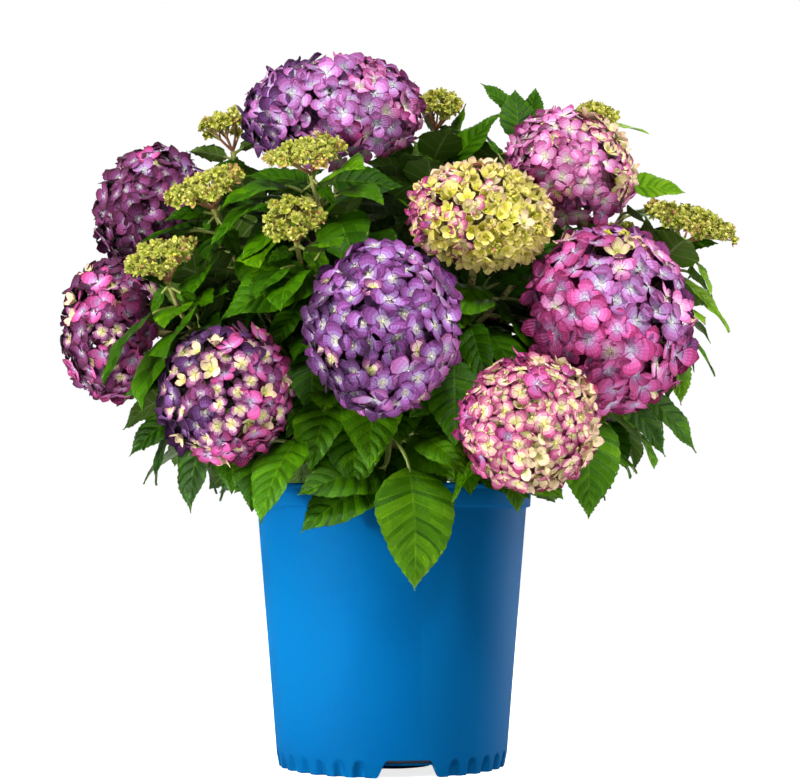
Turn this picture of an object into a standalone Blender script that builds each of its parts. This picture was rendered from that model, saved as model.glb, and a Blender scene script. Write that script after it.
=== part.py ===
"""A mophead hydrangea in its nursery pot, at real size.

Metres, +Z up. The origin is on the pot's axis at the flat foot it stands on, and -Y is the plant's front.
A woody stem base stands on the potting mix and sends up one cane per shoot. Each cane runs on as the stem of
a leafy shoot (one foliage mass), which carries a flower head, and often a side shoot with a cluster of buds.
"""
import math
import random

import bmesh
import bpy
import numpy as np
from mathutils.bvhtree import BVHTree

# --- Sizes -------------------------------------------------------------------------------------------------
GAP = 0.0003  # clearance between pieces that touch
POT_SIDES = 36
RIM_Z, RIM_R = 0.2285, 0.1165
BAND_Z, BAND_R = 0.2115, 0.1147  # lower edge of the straight band under the rim
BODY_TOP_R, BODY_FOOT_R, BODY_FOOT_Z = 0.1112, 0.0947, 0.0110
FOOT_R, FOOT_INNER_R = 0.0925, 0.0895
WALL = 0.0016
FLOOR_Z, FLOOR_THICK = 0.0090, 0.0020  # the raised bottom plate
PAD_R = 0.0340  # central foot under the bottom plate
NOTCH_TURN, NOTCHES = math.radians(8.3), 3  # drainage notches round the foot
NOTCH_FOOT_W, NOTCH_TOP_W, NOTCH_H = 0.0500, 0.0320, 0.0137
FLUTES, FLUTE_FIRST, FLUTE_STEP = 8, math.radians(23.6), math.radians(10.4)
FLUTE_W, FLUTE_H, FLUTE_DEEP = 0.0075, 0.0125, 0.0022
SOIL_TOP, SOIL_DOME, SOIL_SIDES = 0.2030, 0.0030, 18

BASE_R, BASE_FLARE_R, BASE_H = 0.0270, 0.0350, 0.0260  # woody stem base on the mix
STUB_LONG = 0.0170
CANE_R, CANE_TIP_R = 0.0046, 0.0039
STEM_R, STEM_TIP_R = 0.0038, 0.0031
SIDE_R, SIDE_TIP_R = 0.0027, 0.0021
TUBE_SIDES, TWIG_SIDES, CANE_RINGS, STEM_RINGS, SIDE_RINGS = 5, 3, 6, 7, 4

PETIOLE_R = 0.0016
PLAIN_LEAF = 0.080  # up to this length a leaf's outline has fewer corners
LEAF_THICK = 0.0200  # of its length
LEAF_ASPECT = 0.70  # width over length
PAIR_STEP = 0.032  # along a stem, from one pair of leaves to the next
HEAD_NECK = 0.0120  # bare stalk behind a flower head
LAST_ROOT = 0.0030  # from the end of a branch back to its last leaf
CLEAR = 0.0012  # room kept round every leaf
TILES, VALLEY = 3, 0.86  # florets along each side of a head's six fields, and how deep they part
BALL_BACK = -0.72  # florets stand proud down to this level, 1 at a head's face and -1 at its stalk
SEED = 2611

# --- The plan: one row per shoot ---------------------------------------------------------------------------
# name, flower head centre, the way it faces, half width, half height, half depth, stem base ring radius and
# turn (degrees from -Y towards +X), share of the path that is bare cane
SHOOTS = (
    ("top", (-0.051, 0.020, 0.547), (-0.05, -0.30, 0.95), 0.080, 0.066, 0.049, 0.006, 250, 0.36),
    ("left_high", (-0.210, 0.040, 0.471), (-0.80, -0.15, 0.50), 0.058, 0.055, 0.043, 0.024, 285, 0.33),
    ("left_low", (-0.233, -0.005, 0.358), (-0.93, -0.25, 0.05), 0.060, 0.061, 0.043, 0.025, 262, 0.28),
    ("front_left", (-0.127, -0.130, 0.295), (-0.45, -0.85, 0.15), 0.054, 0.054, 0.045, 0.024, 318, 0.22),
    ("front", (-0.006, -0.170, 0.342), (0.02, -0.95, 0.22), 0.0585, 0.067, 0.050, 0.024, 355, 0.22),
    ("inner_right", (0.070, -0.100, 0.438), (0.10, -0.55, 0.83), 0.0590, 0.058, 0.039, 0.012, 35, 0.34),
    ("right_high", (0.149, -0.015, 0.4935), (0.35, -0.45, 0.82), 0.058, 0.056, 0.047, 0.014, 95, 0.34),
    ("right", (0.173, -0.095, 0.358), (0.50, -0.80, 0.20), 0.071, 0.077, 0.052, 0.025, 68, 0.28),
    ("front_right", (0.103, -0.170, 0.271), (0.25, -0.92, 0.05), 0.054, 0.052, 0.044, 0.024, 32, 0.22),
    ("back_right_high", (0.085, 0.135, 0.430), (0.35, 0.55, 0.75), 0.060, 0.060, 0.045, 0.013, 150, 0.34),
    ("back_left_high", (-0.085, 0.140, 0.440), (-0.40, 0.50, 0.77), 0.062, 0.062, 0.046, 0.014, 205, 0.34),
    ("back", (0.000, 0.205, 0.330), (0.00, 0.95, 0.30), 0.060, 0.060, 0.046, 0.025, 180, 0.28),
    ("back_right", (0.170, 0.120, 0.330), (0.60, 0.75, 0.20), 0.056, 0.056, 0.044, 0.025, 125, 0.28),
    ("back_left", (-0.165, 0.140, 0.325), (-0.60, 0.75, 0.20), 0.055, 0.055, 0.043, 0.025, 232, 0.28),
)
# Bud clusters on side shoots: name, shoot it branches from, share of the shoot's path, centre, facing,
# half width, half height
BUDS = (
    ("top_left", "back_left_high", 0.52, (-0.146, 0.072, 0.545), (-0.25, -0.10, 1.0), 0.025, 0.019),
    ("left_high", "left_high", 0.50, (-0.151, -0.050, 0.468), (-0.38, -0.50, 1.0), 0.036, 0.015),
    ("top_front", "top", 0.62, (-0.067, -0.085, 0.490), (-0.20, -0.50, 1.0), 0.036, 0.015),
    ("left_front", "left_low", 0.52, (-0.183, -0.085, 0.405), (-0.32, -0.60, 1.0), 0.033, 0.017),
    ("inner_left", "front", 0.38, (-0.076, -0.120, 0.430), (-0.12, -1.00, 0.9), 0.027, 0.018),
    ("top_right_buds", "inner_right", 0.46, (0.0400, 0.060, 0.560), (0.10, -0.50, 1.0), 0.023, 0.018),
    ("right_top", "right_high", 0.60, (0.178, 0.060, 0.553), (0.15, -0.40, 1.0), 0.021, 0.015),
    ("right_edge", "right", 0.50, (0.250, 0.000, 0.448), (0.32, -0.38, 1.0), 0.043, 0.016),
    ("back_top", "back_right_high", 0.60, (0.010, 0.170, 0.500), (0.0, 0.25, 1.0), 0.030, 0.018),
    ("back_far_left", "left_high", 0.62, (-0.182, 0.126, 0.436), (-0.25, 0.2, 1.0), 0.030, 0.018),
    ("back_far_right", "right_high", 0.50, (0.200, 0.085, 0.445), (0.25, 0.2, 1.0), 0.032, 0.018),
    ("back_low", "back_right_high", 0.56, (0.066, 0.238, 0.422), (0.0, 0.3, 1.0), 0.028, 0.018),
)
# Leafy side shoots: name, shoot each branches from, share of the shoot's path, end
TWIGS = (
    ("under_front", "front", 0.55, (-0.050, -0.105, 0.300)),
    ("front_gap_left", "front_left", 0.60, (-0.066, -0.085, 0.335)),
    ("front_gap_right", "front_right", 0.60, (0.058, -0.112, 0.325)),
    ("inner_fill", "inner_right", 0.62, (0.105, -0.060, 0.400)),
    ("over_rim", "front", 0.40, (0.002, -0.120, 0.264)),
    ("left_over_rim", "front_left", 0.45, (-0.074, -0.117, 0.262)),
    ("left_skirt", "left_low", 0.50, (-0.150, -0.060, 0.292)),
    ("left_back", "left_low", 0.75, (-0.175, 0.070, 0.330)),
    ("right_over_rim", "front_right", 0.40, (0.138, -0.100, 0.264)),
    ("right_skirt", "right", 0.55, (0.178, -0.018, 0.292)),
    ("top_right", "inner_right", 0.55, (0.085, 0.010, 0.462)),
    ("top_left", "top", 0.70, (-0.105, -0.040, 0.430)),
    ("between_tops", "right_high", 0.75, (0.112, 0.052, 0.524)),
    ("right_mid", "right_high", 0.60, (0.200, 0.036, 0.462)),
    ("left_shoulder", "left_high", 0.70, (-0.125, 0.055, 0.470)),
    ("back_skirt_left", "back", 0.45, (-0.060, 0.165, 0.270)),
    ("left_back_skirt", "back_left", 0.60, (-0.165, 0.070, 0.265)),
    ("right_back_skirt", "back_right", 0.60, (0.170, 0.050, 0.272)),
    ("back_skirt_right", "back_right", 0.50, (0.085, 0.165, 0.275)),
    ("back_shoulder", "back_left_high", 0.72, (-0.006, 0.120, 0.478)),
)

# The leaves that show best, one row each: shoot, the branch it grows from and the share of it, then compass
# turn, rise and length of the stalk, the same three for the blade, its width over length, droop and roll
SHOWN_LEAVES = (
    ("front", "inner_left", 0.85, 20, 5, 0.023, -72, -14, 0.084, 0.66, 30, -42),
    ("front", "inner_left", 0.72, 70, 35, 0.042, 75, 25, 0.066, 0.46, 40, 25),
    ("front", "inner_left", 0.40, -15, -20, 0.022, -60, -40, 0.074, 0.65, 30, -25),
    ("front", "stem", 0.92, -5, -30, 0.030, -5, -35, 0.084, 0.60, 40, 0),
    ("front", "over_rim", 0.80, -30, -60, 0.030, -50, -6, 0.076, 0.62, 30, -45),
    ("front", "over_rim", 0.66, -28, -58, 0.042, -54, -22, 0.076, 0.60, 30, -40),
    ("front", "over_rim", 0.97, 32, -48, 0.034, 26, -72, 0.094, 0.70, 25, 0),
    ("front", "over_rim", 0.80, 45, -10, 0.024, 66, 12, 0.074, 0.58, 35, 45),
    ("front", "under_front", 0.90, -25, 0, 0.016, -28, -34, 0.082, 0.64, 35, 0),
    ("front", "under_front", 0.60, 10, -15, 0.022, 2, -52, 0.080, 0.64, 30, 0),
    ("front_left", "front_gap_left", 0.85, 20, 0, 0.016, 14, -52, 0.074, 0.62, 30, 0),
    ("front_right", "front_gap_right", 0.90, -10, 0, 0.016, 0, -52, 0.078, 0.64, 30, 0),
    ("inner_right", "inner_fill", 0.90, 60, 10, 0.016, 75, -30, 0.056, 0.60, 30, 0),
    ("front_right", "stem", 0.92, -25, -40, 0.020, -70, -35, 0.056, 0.62, 30, 0),
    ("front_right", "stem", 0.90, -10, -50, 0.034, 40, -45, 0.044, 0.64, 25, 0),
    ("front_right", "right_over_rim", 0.90, 55, 45, 0.034, 15, -62, 0.088, 0.62, 35, 0),
    ("front_left", "left_over_rim", 0.90, 0, 10, 0.016, -35, -38, 0.082, 0.60, 40, 0),
    ("front_left", "left_over_rim", 0.80, -75, 20, 0.026, -22, -48, 0.072, 0.64, 30, 0),
    ("front_left", "stem", 0.80, -68, 0, 0.058, -40, -58, 0.072, 0.56, 30, 0),
    ("front_left", "stem", 0.86, -45, -15, 0.038, -10, -58, 0.062, 0.60, 20, 0),
    ("left_low", "left_front", 0.50, 0, -25, 0.020, -75, -8, 0.086, 0.56, 35, -40),
    ("left_low", "left_skirt", 0.95, -85, 15, 0.030, -62, -20, 0.058, 0.46, 40, 50),
    ("left_low", "left_skirt", 0.80, -90, -10, 0.027, -65, -25, 0.060, 0.50, 40, -40),
    ("top", "top_front", 0.80, -110, 20, 0.022, -80, 20, 0.080, 0.54, 25, -35),
    ("top", "top_front", 0.92, 160, 40, 0.034, 86, 2, 0.062, 0.58, 20, 50),
    ("top", "top_front", 0.88, -165, 42, 0.036, -92, 16, 0.060, 0.58, 20, -35),
    ("inner_right", "stem", 0.84, 30, -10, 0.040, -64, 0, 0.070, 0.58, 30, -40),
    ("inner_right", "stem", 0.52, 8, 5, 0.062, 10, -50, 0.062, 0.42, 30, 40),
    ("inner_right", "top_right_buds", 0.90, 60, 50, 0.026, 120, 75, 0.046, 0.46, 10, 0),
    ("inner_right", "top_right_buds", 0.84, 30, 35, 0.026, 80, 54, 0.068, 0.56, 20, 50),
    ("back_left_high", "top_left", 0.97, -15, 35, 0.020, -12, -48, 0.044, 0.64, 25, 0),
    ("back_left_high", "top_left", 0.92, 40, 35, 0.018, 50, -30, 0.046, 0.60, 30, 30),
    ("right_high", "between_tops", 0.97, -30, 70, 0.010, -172, 78, 0.052, 0.62, 15, 0),
    ("right_high", "between_tops", 0.95, 120, 72, 0.022, 150, 74, 0.046, 0.56, 15, 0),
    ("right_high", "between_tops", 0.90, -175, 71, 0.047, -98, 48, 0.046, 0.42, 15, -50),
    ("right_high", "between_tops", 0.84, -100, 52, 0.028, -95, 60, 0.036, 0.40, 15, -20),
    ("right_high", "right_top", 0.97, 135, 62, 0.046, 84, -2, 0.046, 0.42, 20, 20),
    ("right_high", "right_mid", 0.97, 60, 70, 0.024, 88, 2, 0.054, 0.66, 20, 45),
    ("right_high", "right_mid", 0.92, 100, 45, 0.022, 84, 8, 0.048, 0.50, 20, 30),
    ("right", "right_edge", 0.86, 125, 25, 0.026, 80, -34, 0.066, 0.38, 30, 25),
    ("right", "right_edge", 0.68, 25, -5, 0.052, 25, -58, 0.064, 0.46, 30, 0),
    ("right", "right_edge", 0.74, 60, -20, 0.031, 75, -38, 0.060, 0.46, 30, 0),
    ("right", "right_edge", 0.97, 80, 20, 0.024, 72, -58, 0.034, 0.40, 15, 15),
    ("right", "right_skirt", 0.80, 50, 12, 0.036, 72, -44, 0.060, 0.42, 30, 40),
    ("right", "right_skirt", 0.92, 80, 15, 0.040, 84, -38, 0.064, 0.48, 30, 40),
)
# Leaves that follow the rule: pairs set crosswise, longer on the shoots' own stems
STEM_LEAF, TWIG_LEAF, BUD_LEAF = 0.100, 0.088, 0.070
SHOWN_TRIES = 150
MOST_LEAVES = 20  # on one shoot
TRIES = 24  # turns and lengths tried before a leaf is left out
CROWN_AT, CROWN_REACH = (0.0, -0.005, 0.350), (0.270, 0.268, 0.205)
CROWN_FOOT = 0.214  # no leaf of a pair hangs lower, so the pot's wall shows

BLOOM_COLOURS = {
    "top": (0.30, 0.10, 0.42),
    "left_high": (0.26, 0.05, 0.24),
    "left_low": (0.34, 0.07, 0.20),
    "front_left": (0.28, 0.06, 0.22),
    "front": (0.19, 0.09, 0.42),
    "inner_right": (0.55, 0.50, 0.18),
    "right_high": (0.48, 0.14, 0.34),
    "right": (0.42, 0.06, 0.28),
    "front_right": (0.62, 0.30, 0.34),
    "back_right_high": (0.36, 0.08, 0.32),
    "back_left_high": (0.26, 0.10, 0.40),
    "back": (0.40, 0.07, 0.28),
    "back_right": (0.24, 0.08, 0.38),
    "back_left": (0.50, 0.22, 0.34),
}

# --- Vectors, paths and frames -----------------------------------------------------------------------------
def vec(*xyz):
    """A point or a direction as a numpy array."""
    return np.array(xyz if len(xyz) == 3 else xyz[0], dtype=float)


def unit(v):
    """v at length 1."""
    v = vec(v)
    return v / np.linalg.norm(v)


def side_and_up(axis, hint=(0.0, 0.0, 1.0)):
    """Two unit vectors square to the axis: one level, one as near the hint as can be."""
    axis = unit(axis)
    if abs(axis @ unit(hint)) > 0.97:
        hint = (0.0, 1.0, 0.0)
    side = unit(np.cross(axis, hint))
    return side, np.cross(side, axis)


def bezier(a, b, c, d, count):
    """count points of the cubic curve that leaves a towards b and comes into d from c."""
    t = np.linspace(0.0, 1.0, count)[:, None]
    return a * (1 - t) ** 3 + 3 * b * t * (1 - t) ** 2 + 3 * c * t**2 * (1 - t) + d * t**3


def arc_lengths(points):
    """Length along a path at each of its points."""
    return np.concatenate([[0.0], np.cumsum(np.linalg.norm(np.diff(points, axis=0), axis=1))])


def along(points, share):
    """(point, direction) at a share of the path's length."""
    length = arc_lengths(points)
    at = share * length[-1]
    i = int(min(np.searchsorted(length, at, side="right") - 1, len(points) - 2))
    part = (at - length[i]) / (length[i + 1] - length[i])
    return points[i] + part * (points[i + 1] - points[i]), unit(points[i + 1] - points[i])


def stretch(points, start, end, count):
    """The path between two shares of its length, as count evenly spaced points."""
    return np.array([along(points, s)[0] for s in np.linspace(start, end, count)])


def turned(v, axis, angle):
    """v turned about a unit axis: v cos a + (axis x v) sin a + axis (axis.v)(1 - cos a)."""
    c, s = math.cos(angle), math.sin(angle)
    return v * c + np.cross(axis, v) * s + axis * (axis @ v) * (1 - c)


# --- Closed shapes, each as (points, faces) ----------------------------------------------------------------
def tube(path, radius_start, radius_end, sides=TUBE_SIDES, end_way=None):
    """A tapering limb along a path, closed by a flat cap at each end; the last cap can face end_way."""
    count = len(path)
    steps = np.gradient(path, axis=0)
    if end_way is not None:
        steps[-1] = end_way
    side = side_and_up(steps[0])[0]
    points = []
    for k in range(count):
        ahead = unit(steps[k])
        side = unit(side - ahead * (side @ ahead))
        across = np.cross(ahead, side)
        radius = radius_start + (radius_end - radius_start) * k / (count - 1)
        for j in range(sides):
            a = 2 * math.pi * j / sides
            points.append(path[k] + radius * (side * math.cos(a) + across * math.sin(a)))
    faces = [tuple(range(sides))[::-1], tuple((count - 1) * sides + j for j in range(sides))]
    for k in range(count - 1):
        for j in range(sides):
            a, b = k * sides + j, k * sides + (j + 1) % sides
            faces.append((a, b, b + sides, a + sides))
    return np.array(points), faces


def turned_solid(profile, sides, phase=0.0):
    """A profile of (radius, height) turned about Z. Its two ends lie on the axis."""
    points, rings = [], []
    for radius, height in profile:
        if radius == 0.0:
            rings.append([len(points)] * sides)
            points.append((0.0, 0.0, height))
            continue
        rings.append([len(points) + j for j in range(sides)])
        for j in range(sides):
            a = phase + 2 * math.pi * j / sides
            points.append((radius * math.sin(a), -radius * math.cos(a), height))
    faces = []
    for low, high in zip(rings, rings[1:]):
        for j in range(sides):
            k = (j + 1) % sides
            corners = [low[j], low[k], high[k], high[j]]
            faces.append(tuple(dict.fromkeys(corners)))
    return np.array(points), faces


def globe(rings, sides, radii, centre, axes):
    """An ellipsoid of few faces: radii along the three axes about its centre."""
    profile = [(math.sin(math.pi * k / rings), -math.cos(math.pi * k / rings)) for k in range(rings + 1)]
    profile[0], profile[-1] = (0.0, -1.0), (0.0, 1.0)
    points, faces = turned_solid(profile, sides)
    return centre + (points * np.array(radii)) @ np.array(axes), faces


def floret_ball(radii, centre, axes, rng):
    """A flower head: a globe tiled with florets, each a low four-faced pyramid round its eye."""
    tiles, index, points = [], {}, []

    def corner(way):
        """The number of a corner shared by up to four florets: pushed in, and shifted a little sideways."""
        key = tuple(np.round(way, 4))
        if key not in index:
            index[key] = len(points)
            shift = np.array([rng.uniform(-1, 1) for _ in range(3)]) * 0.07
            points.append(unit(way + shift) * (VALLEY + rng.uniform(-0.02, 0.02)))
        return index[key]

    for axis in range(3):
        for sign in (1, -1):
            ways = np.empty((TILES + 1, TILES + 1, 3))
            for i in range(TILES + 1):
                for j in range(TILES + 1):
                    a, b = (math.tan(math.pi / 4 * (2 * k / TILES - 1)) for k in (i, j))
                    ways[i, j] = unit(np.roll([sign, a, b], axis))
            for i in range(TILES):
                for j in range(TILES):
                    tiles.append([ways[i, j], ways[i + 1, j], ways[i + 1, j + 1], ways[i, j + 1]])
    faces = []
    for tile in tiles:
        ring = [corner(way) for way in tile]
        middle = unit(sum(tile))
        proud = rng.uniform(0.96, 1.0) if middle[2] > BALL_BACK else VALLEY - 0.02
        points.append(middle * proud)
        faces += [(len(points) - 1, ring[k], ring[(k + 1) % 4]) for k in range(4)]
    return centre + (np.array(points) * radii) @ axes, faces


def blade(leaf, grow=0.0, with_stalk=True):
    """A leaf: a folded, drooping plate, thick along its midrib, on a three-sided stalk."""
    d, n = leaf["ahead"], leaf["face"]
    w = np.cross(d, n)
    long, wide, droop = leaf["long"], leaf["wide"], leaf["droop"]
    base, root = leaf["base"], leaf["root"]

    def at(share, across):
        """A point of the blade: its midrib is an arc that turns down by droop, its halves fold up."""
        turn = max(droop, 1e-3)
        a = turn * share
        ahead = d * math.cos(a) - n * math.sin(a)
        face = d * math.sin(a) + n * math.cos(a)
        spine = base + long / turn * (d * math.sin(a) - n * (1 - math.cos(a)))
        reach = across * (wide / 2)
        reach += grow * np.sign(across)
        return spine + w * reach + face * abs(reach) * leaf["fold"], ahead, face

    thick = LEAF_THICK * long / 2 + grow
    radius = PETIOLE_R + grow
    tip, ahead, _ = at(1.0, 0.0)
    middle, _, face = at(0.46, 0.0)
    right, left = [at(0.38, 1.0)[0]], [at(0.38, -1.0)[0]]
    if long > PLAIN_LEAF:
        right, left = [at(0.34, 1.0)[0], at(0.70, 0.66)[0]], [at(0.70, -0.66)[0], at(0.34, -1.0)[0]]
    base_ring = [base - w * radius + n * radius / 2, base + w * radius + n * radius / 2]
    rim = [*base_ring, *right, tip + ahead * grow, *left]
    last, keel, over, under = len(rim) - 1, len(rim), len(rim) + 1, len(rim) + 2
    points = [*rim, base - n * radius, middle + face * thick, middle - face * thick]
    faces = [(over, k, (k + 1) % (last + 1)) for k in range(last + 1)]
    faces += [(under, k + 1, k) for k in range(1, last)]
    faces += [(under, 0, last), (under, keel, 0), (under, 1, keel)]
    if not with_stalk:
        return np.array(points), faces + [(0, keel, 1)]
    stalk = unit(base - root)
    up = unit(n - stalk * (n @ stalk))
    across = np.cross(stalk, up)
    points += [
        root - across * radius + up * radius / 2,
        root + across * radius + up * radius / 2,
        root - up * radius,
    ]
    a, b, c = under + 1, under + 2, under + 3
    faces += [(a, b, 1), (a, 1, 0), (b, c, keel), (b, keel, 1), (c, a, 0), (c, 0, keel), (a, c, b)]
    return np.array(points), faces


# --- The shoots' paths -------------------------------------------------------------------------------------
def shoot_path(row):
    """(start of the stub, its direction, path from the stub's end to the flower head's stalk)."""
    _, centre, facing, _, _, deep, ring, turn, _ = row
    a = math.radians(turn)
    out = vec(math.sin(a), -math.cos(a), 0.0)
    start = out * ring + vec(0, 0, SOIL_TOP + SOIL_DOME + BASE_H * (0.80 - 0.25 * ring / BASE_R))
    facing = unit(facing)
    end = vec(centre) - facing * (deep + HEAD_NECK + GAP)
    leave = unit(out * (0.25 + 12 * ring) + unit(end - start) * 0.6 + vec(0, 0, 0.7))
    first = start + leave * (STUB_LONG + GAP)
    span = np.linalg.norm(end - first)
    path = bezier(first, first + leave * 0.36 * span, end - facing * 0.34 * span, end, 49)
    return start, leave, path


def bud_path(row, stem):
    """The side shoot from a share of its stem's path to the point where the bud cluster's rays meet."""
    _, _, share, centre, facing, _, high = row
    start, ahead = along(stem, share)
    facing = unit(facing)
    end = vec(centre) - facing * (high + 0.016 + GAP)
    span = np.linalg.norm(end - start)
    leave = unit(ahead * 0.5 + unit(end - start))
    return bezier(start, start + leave * 0.3 * span, end - facing * 0.38 * span, end, 25)


def twig_path(row, stem):
    """A leafy side shoot: it leaves its stem at a share of the path and ends rising gently outwards."""
    _, _, share, end = row
    start, ahead = along(stem, share)
    end = vec(end)
    span = np.linalg.norm(end - start)
    leave = unit(ahead * 0.4 + unit(end - start))
    arrive = unit(unit(end - start) * 0.8 + vec(0, 0, 0.35))
    return bezier(start, start + leave * 0.3 * span, end - arrive * 0.35 * span, end, 17)


def pot_profile(grow=0.0):
    """The pot's wall, rim, raised bottom and central foot as one closed profile, grown outwards by grow."""
    return [
        (0.0, 0.0),
        (PAD_R, 0.0),
        (PAD_R + 0.0015, FLOOR_Z),
        (FOOT_INNER_R - 0.0010, FLOOR_Z),
        (FOOT_INNER_R, 0.0),
        (FOOT_R + grow, 0.0),
        (BODY_FOOT_R + grow, BODY_FOOT_Z),
        (BODY_TOP_R + grow, BAND_Z - 0.0030),
        (BAND_R + grow, BAND_Z - 0.0008),
        (RIM_R - 0.0009 + grow, RIM_Z - 0.0040),
        (RIM_R + grow, RIM_Z - 0.0022),
        (RIM_R - 0.0005 + grow, RIM_Z + grow),
        (RIM_R - 0.0026 - grow, RIM_Z + grow),
        (BAND_R - WALL - 0.0002 - grow, BAND_Z),
        (BODY_TOP_R - WALL - grow, BAND_Z - 0.0050),
        (BODY_FOOT_R - WALL - grow, BODY_FOOT_Z + 0.0020),
        (BODY_FOOT_R - 0.0042, FLOOR_Z + FLOOR_THICK),
        (0.0, FLOOR_Z + FLOOR_THICK),
    ]


def bud_profile(half_wide, half_high):
    """A bud cluster about its stalk: the stalk, rays opening like a cup, and a low dome of buds on top."""
    return [
        (0.0, -half_high - 0.016),
        (SIDE_TIP_R, -half_high - 0.016),
        (SIDE_TIP_R, -half_high),
        (half_wide * 0.74, -half_high * 0.10),
        (half_wide, half_high * 0.30),
        (half_wide * 0.60, half_high * 0.82),
        (0.0, half_high),
    ]


def head_axes(facing):
    """Rows: the level side, the near-upright side and the facing direction of a flower head."""
    side, up = side_and_up(facing)
    return np.array([side, up, unit(facing)])


# --- Where everything grows --------------------------------------------------------------------------------
def all_branches():
    """Each shoot's branches, as paths: the stem above the cane, bud stalks and leafy side shoots."""
    branches = {}
    for row in SHOOTS:
        path = shoot_path(row)[2]
        own = {"stem": stretch(path, row[8], 1.0, STEM_RINGS)}
        for bud in BUDS:
            if bud[1] == row[0]:
                own[bud[0]] = stretch(bud_path(bud, path), 0, 1, SIDE_RINGS)
        for twig in TWIGS:
            if twig[1] == row[0]:
                own[twig[0]] = stretch(twig_path(twig, path), 0, 1, SIDE_RINGS)
        branches[row[0]] = own
    return branches


def heading(turn, rise):
    """A unit vector by compass turn (degrees from -Y towards +X) and rise (degrees above level)."""
    turn, rise = math.radians(turn), math.radians(rise)
    return vec(math.sin(turn) * math.cos(rise), -math.cos(turn) * math.cos(rise), math.sin(rise))


def make_leaf(shoot, root, base, ahead, face, long, wide, droop, fold):
    """One leaf's sizes and pose; face is made square to the way the blade leaves its stalk."""
    ahead = unit(ahead)
    face = unit(face - ahead * (ahead @ face))
    sizes = dict(long=long, wide=wide, droop=droop, fold=fold)
    return dict(shoot=shoot, root=root, base=base, ahead=ahead, face=face, **sizes)


def shown_leaf(row, branches, give=0.0, rng=None):
    """A leaf of the plan's table, its face up but for the row's roll. give loosens the pose to find room."""
    shoot, branch, share, turn, rise, reach, blade_turn, blade_rise, long, aspect, droop, roll = row
    if give:
        share = min(max(share + give * rng.uniform(-0.25, 0.10), 0.1), 0.97)
        turn, rise = turn + give * rng.uniform(-70, 70), rise + give * rng.uniform(-60, 60)
        blade_turn += give * rng.uniform(-22, 22)
        blade_rise += give * rng.uniform(-18, 18)
        reach *= 1 + give * rng.uniform(-0.4, 0.8)
        long *= 1 - 0.22 * give
    path = branches[shoot][branch]
    root, _ = along(path, min(share, 1 - LAST_ROOT / arc_lengths(path)[-1]))
    base = root + heading(turn, rise) * reach
    ahead = heading(blade_turn, blade_rise)
    face = turned(heading(blade_turn, blade_rise + 90), ahead, math.radians(roll))
    return make_leaf(shoot, root, base, ahead, face, long, long * aspect, math.radians(droop), 0.18)


def obstacles_of(branches):
    """Closed proxies, each grown by the room kept: canes, stems, heads, bud clusters and the pot."""
    found = []

    def add(owner, shape):
        found.append((owner, search_tree(shape), shape[0].min(axis=0), shape[0].max(axis=0)))

    for row in SHOOTS:
        name, centre, facing, wide, high, deep, _, _, bare = row
        path = shoot_path(row)[2]
        add(None, tube(stretch(path, 0, bare, CANE_RINGS), CANE_R + CLEAR, CANE_TIP_R + CLEAR, 6))
        for branch, points in branches[name].items():
            radius = (STEM_R if branch == "stem" else SIDE_R) + CLEAR
            add(name, tube(points, radius, radius, 6))
        radii = np.array([wide, high, deep]) * 1.03 + CLEAR
        add(None, globe(10, 14, radii, vec(centre), head_axes(facing)))
        neck = vec(centre) - unit(facing) * (deep + HEAD_NECK)
        add(None, tube(np.array([neck, vec(centre)]), STEM_R + CLEAR, STEM_R + CLEAR, 6))
    for name, _, _, centre, facing, wide, high in BUDS:
        profile = bud_profile(wide * 1.03, high * 1.03)
        profile = [(r and r + CLEAR, z + math.copysign(CLEAR, z)) for r, z in profile]
        points, faces = turned_solid(profile, 12)
        add(None, (vec(centre) + points @ head_axes(facing), faces))
    add(None, turned_solid(pot_profile(CLEAR), POT_SIDES))
    soil = [(0.0, 0.1), (0.108, 0.1), (0.108, SOIL_TOP + 0.006), (0.0, SOIL_TOP + 0.006)]
    add(None, turned_solid(soil, 24))
    return found


def search_tree(shape):
    """A tree over the faces of (points, faces), for touch tests."""
    return BVHTree.FromPolygons([tuple(p) for p in shape[0]], shape[1])


def touches(tree, low, high, others, skip=None):
    """Whether a shape meets any of the others, those owned by skip left out."""
    for owner, other, other_low, other_high in others:
        if owner is not None and owner == skip:
            continue
        if (low > other_high).any() or (high < other_low).any():
            continue
        if tree.overlap(other):
            return True
    return False


def leaf_fits(leaf, fixed, leaves, shown=False):
    """Whether a leaf keeps clear of every limb, head and pot, and of the leaves already there."""
    points, faces = blade(leaf, CLEAR)
    low, high = points.min(axis=0), points.max(axis=0)
    tree = search_tree((points, faces))
    if touches(tree, low, high, fixed, leaf["shoot"]) or touches(tree, low, high, leaves, leaf["shoot"]):
        return False
    if shown:
        return True
    beyond = np.linalg.norm((points - vec(CROWN_AT)) / vec(CROWN_REACH), axis=1) > 1.0
    if beyond.any() or low[2] < CROWN_FOOT:
        return False
    tree = search_tree(blade(leaf, CLEAR / 2, with_stalk=False))
    return not touches(tree, low, high, leaves)


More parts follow.
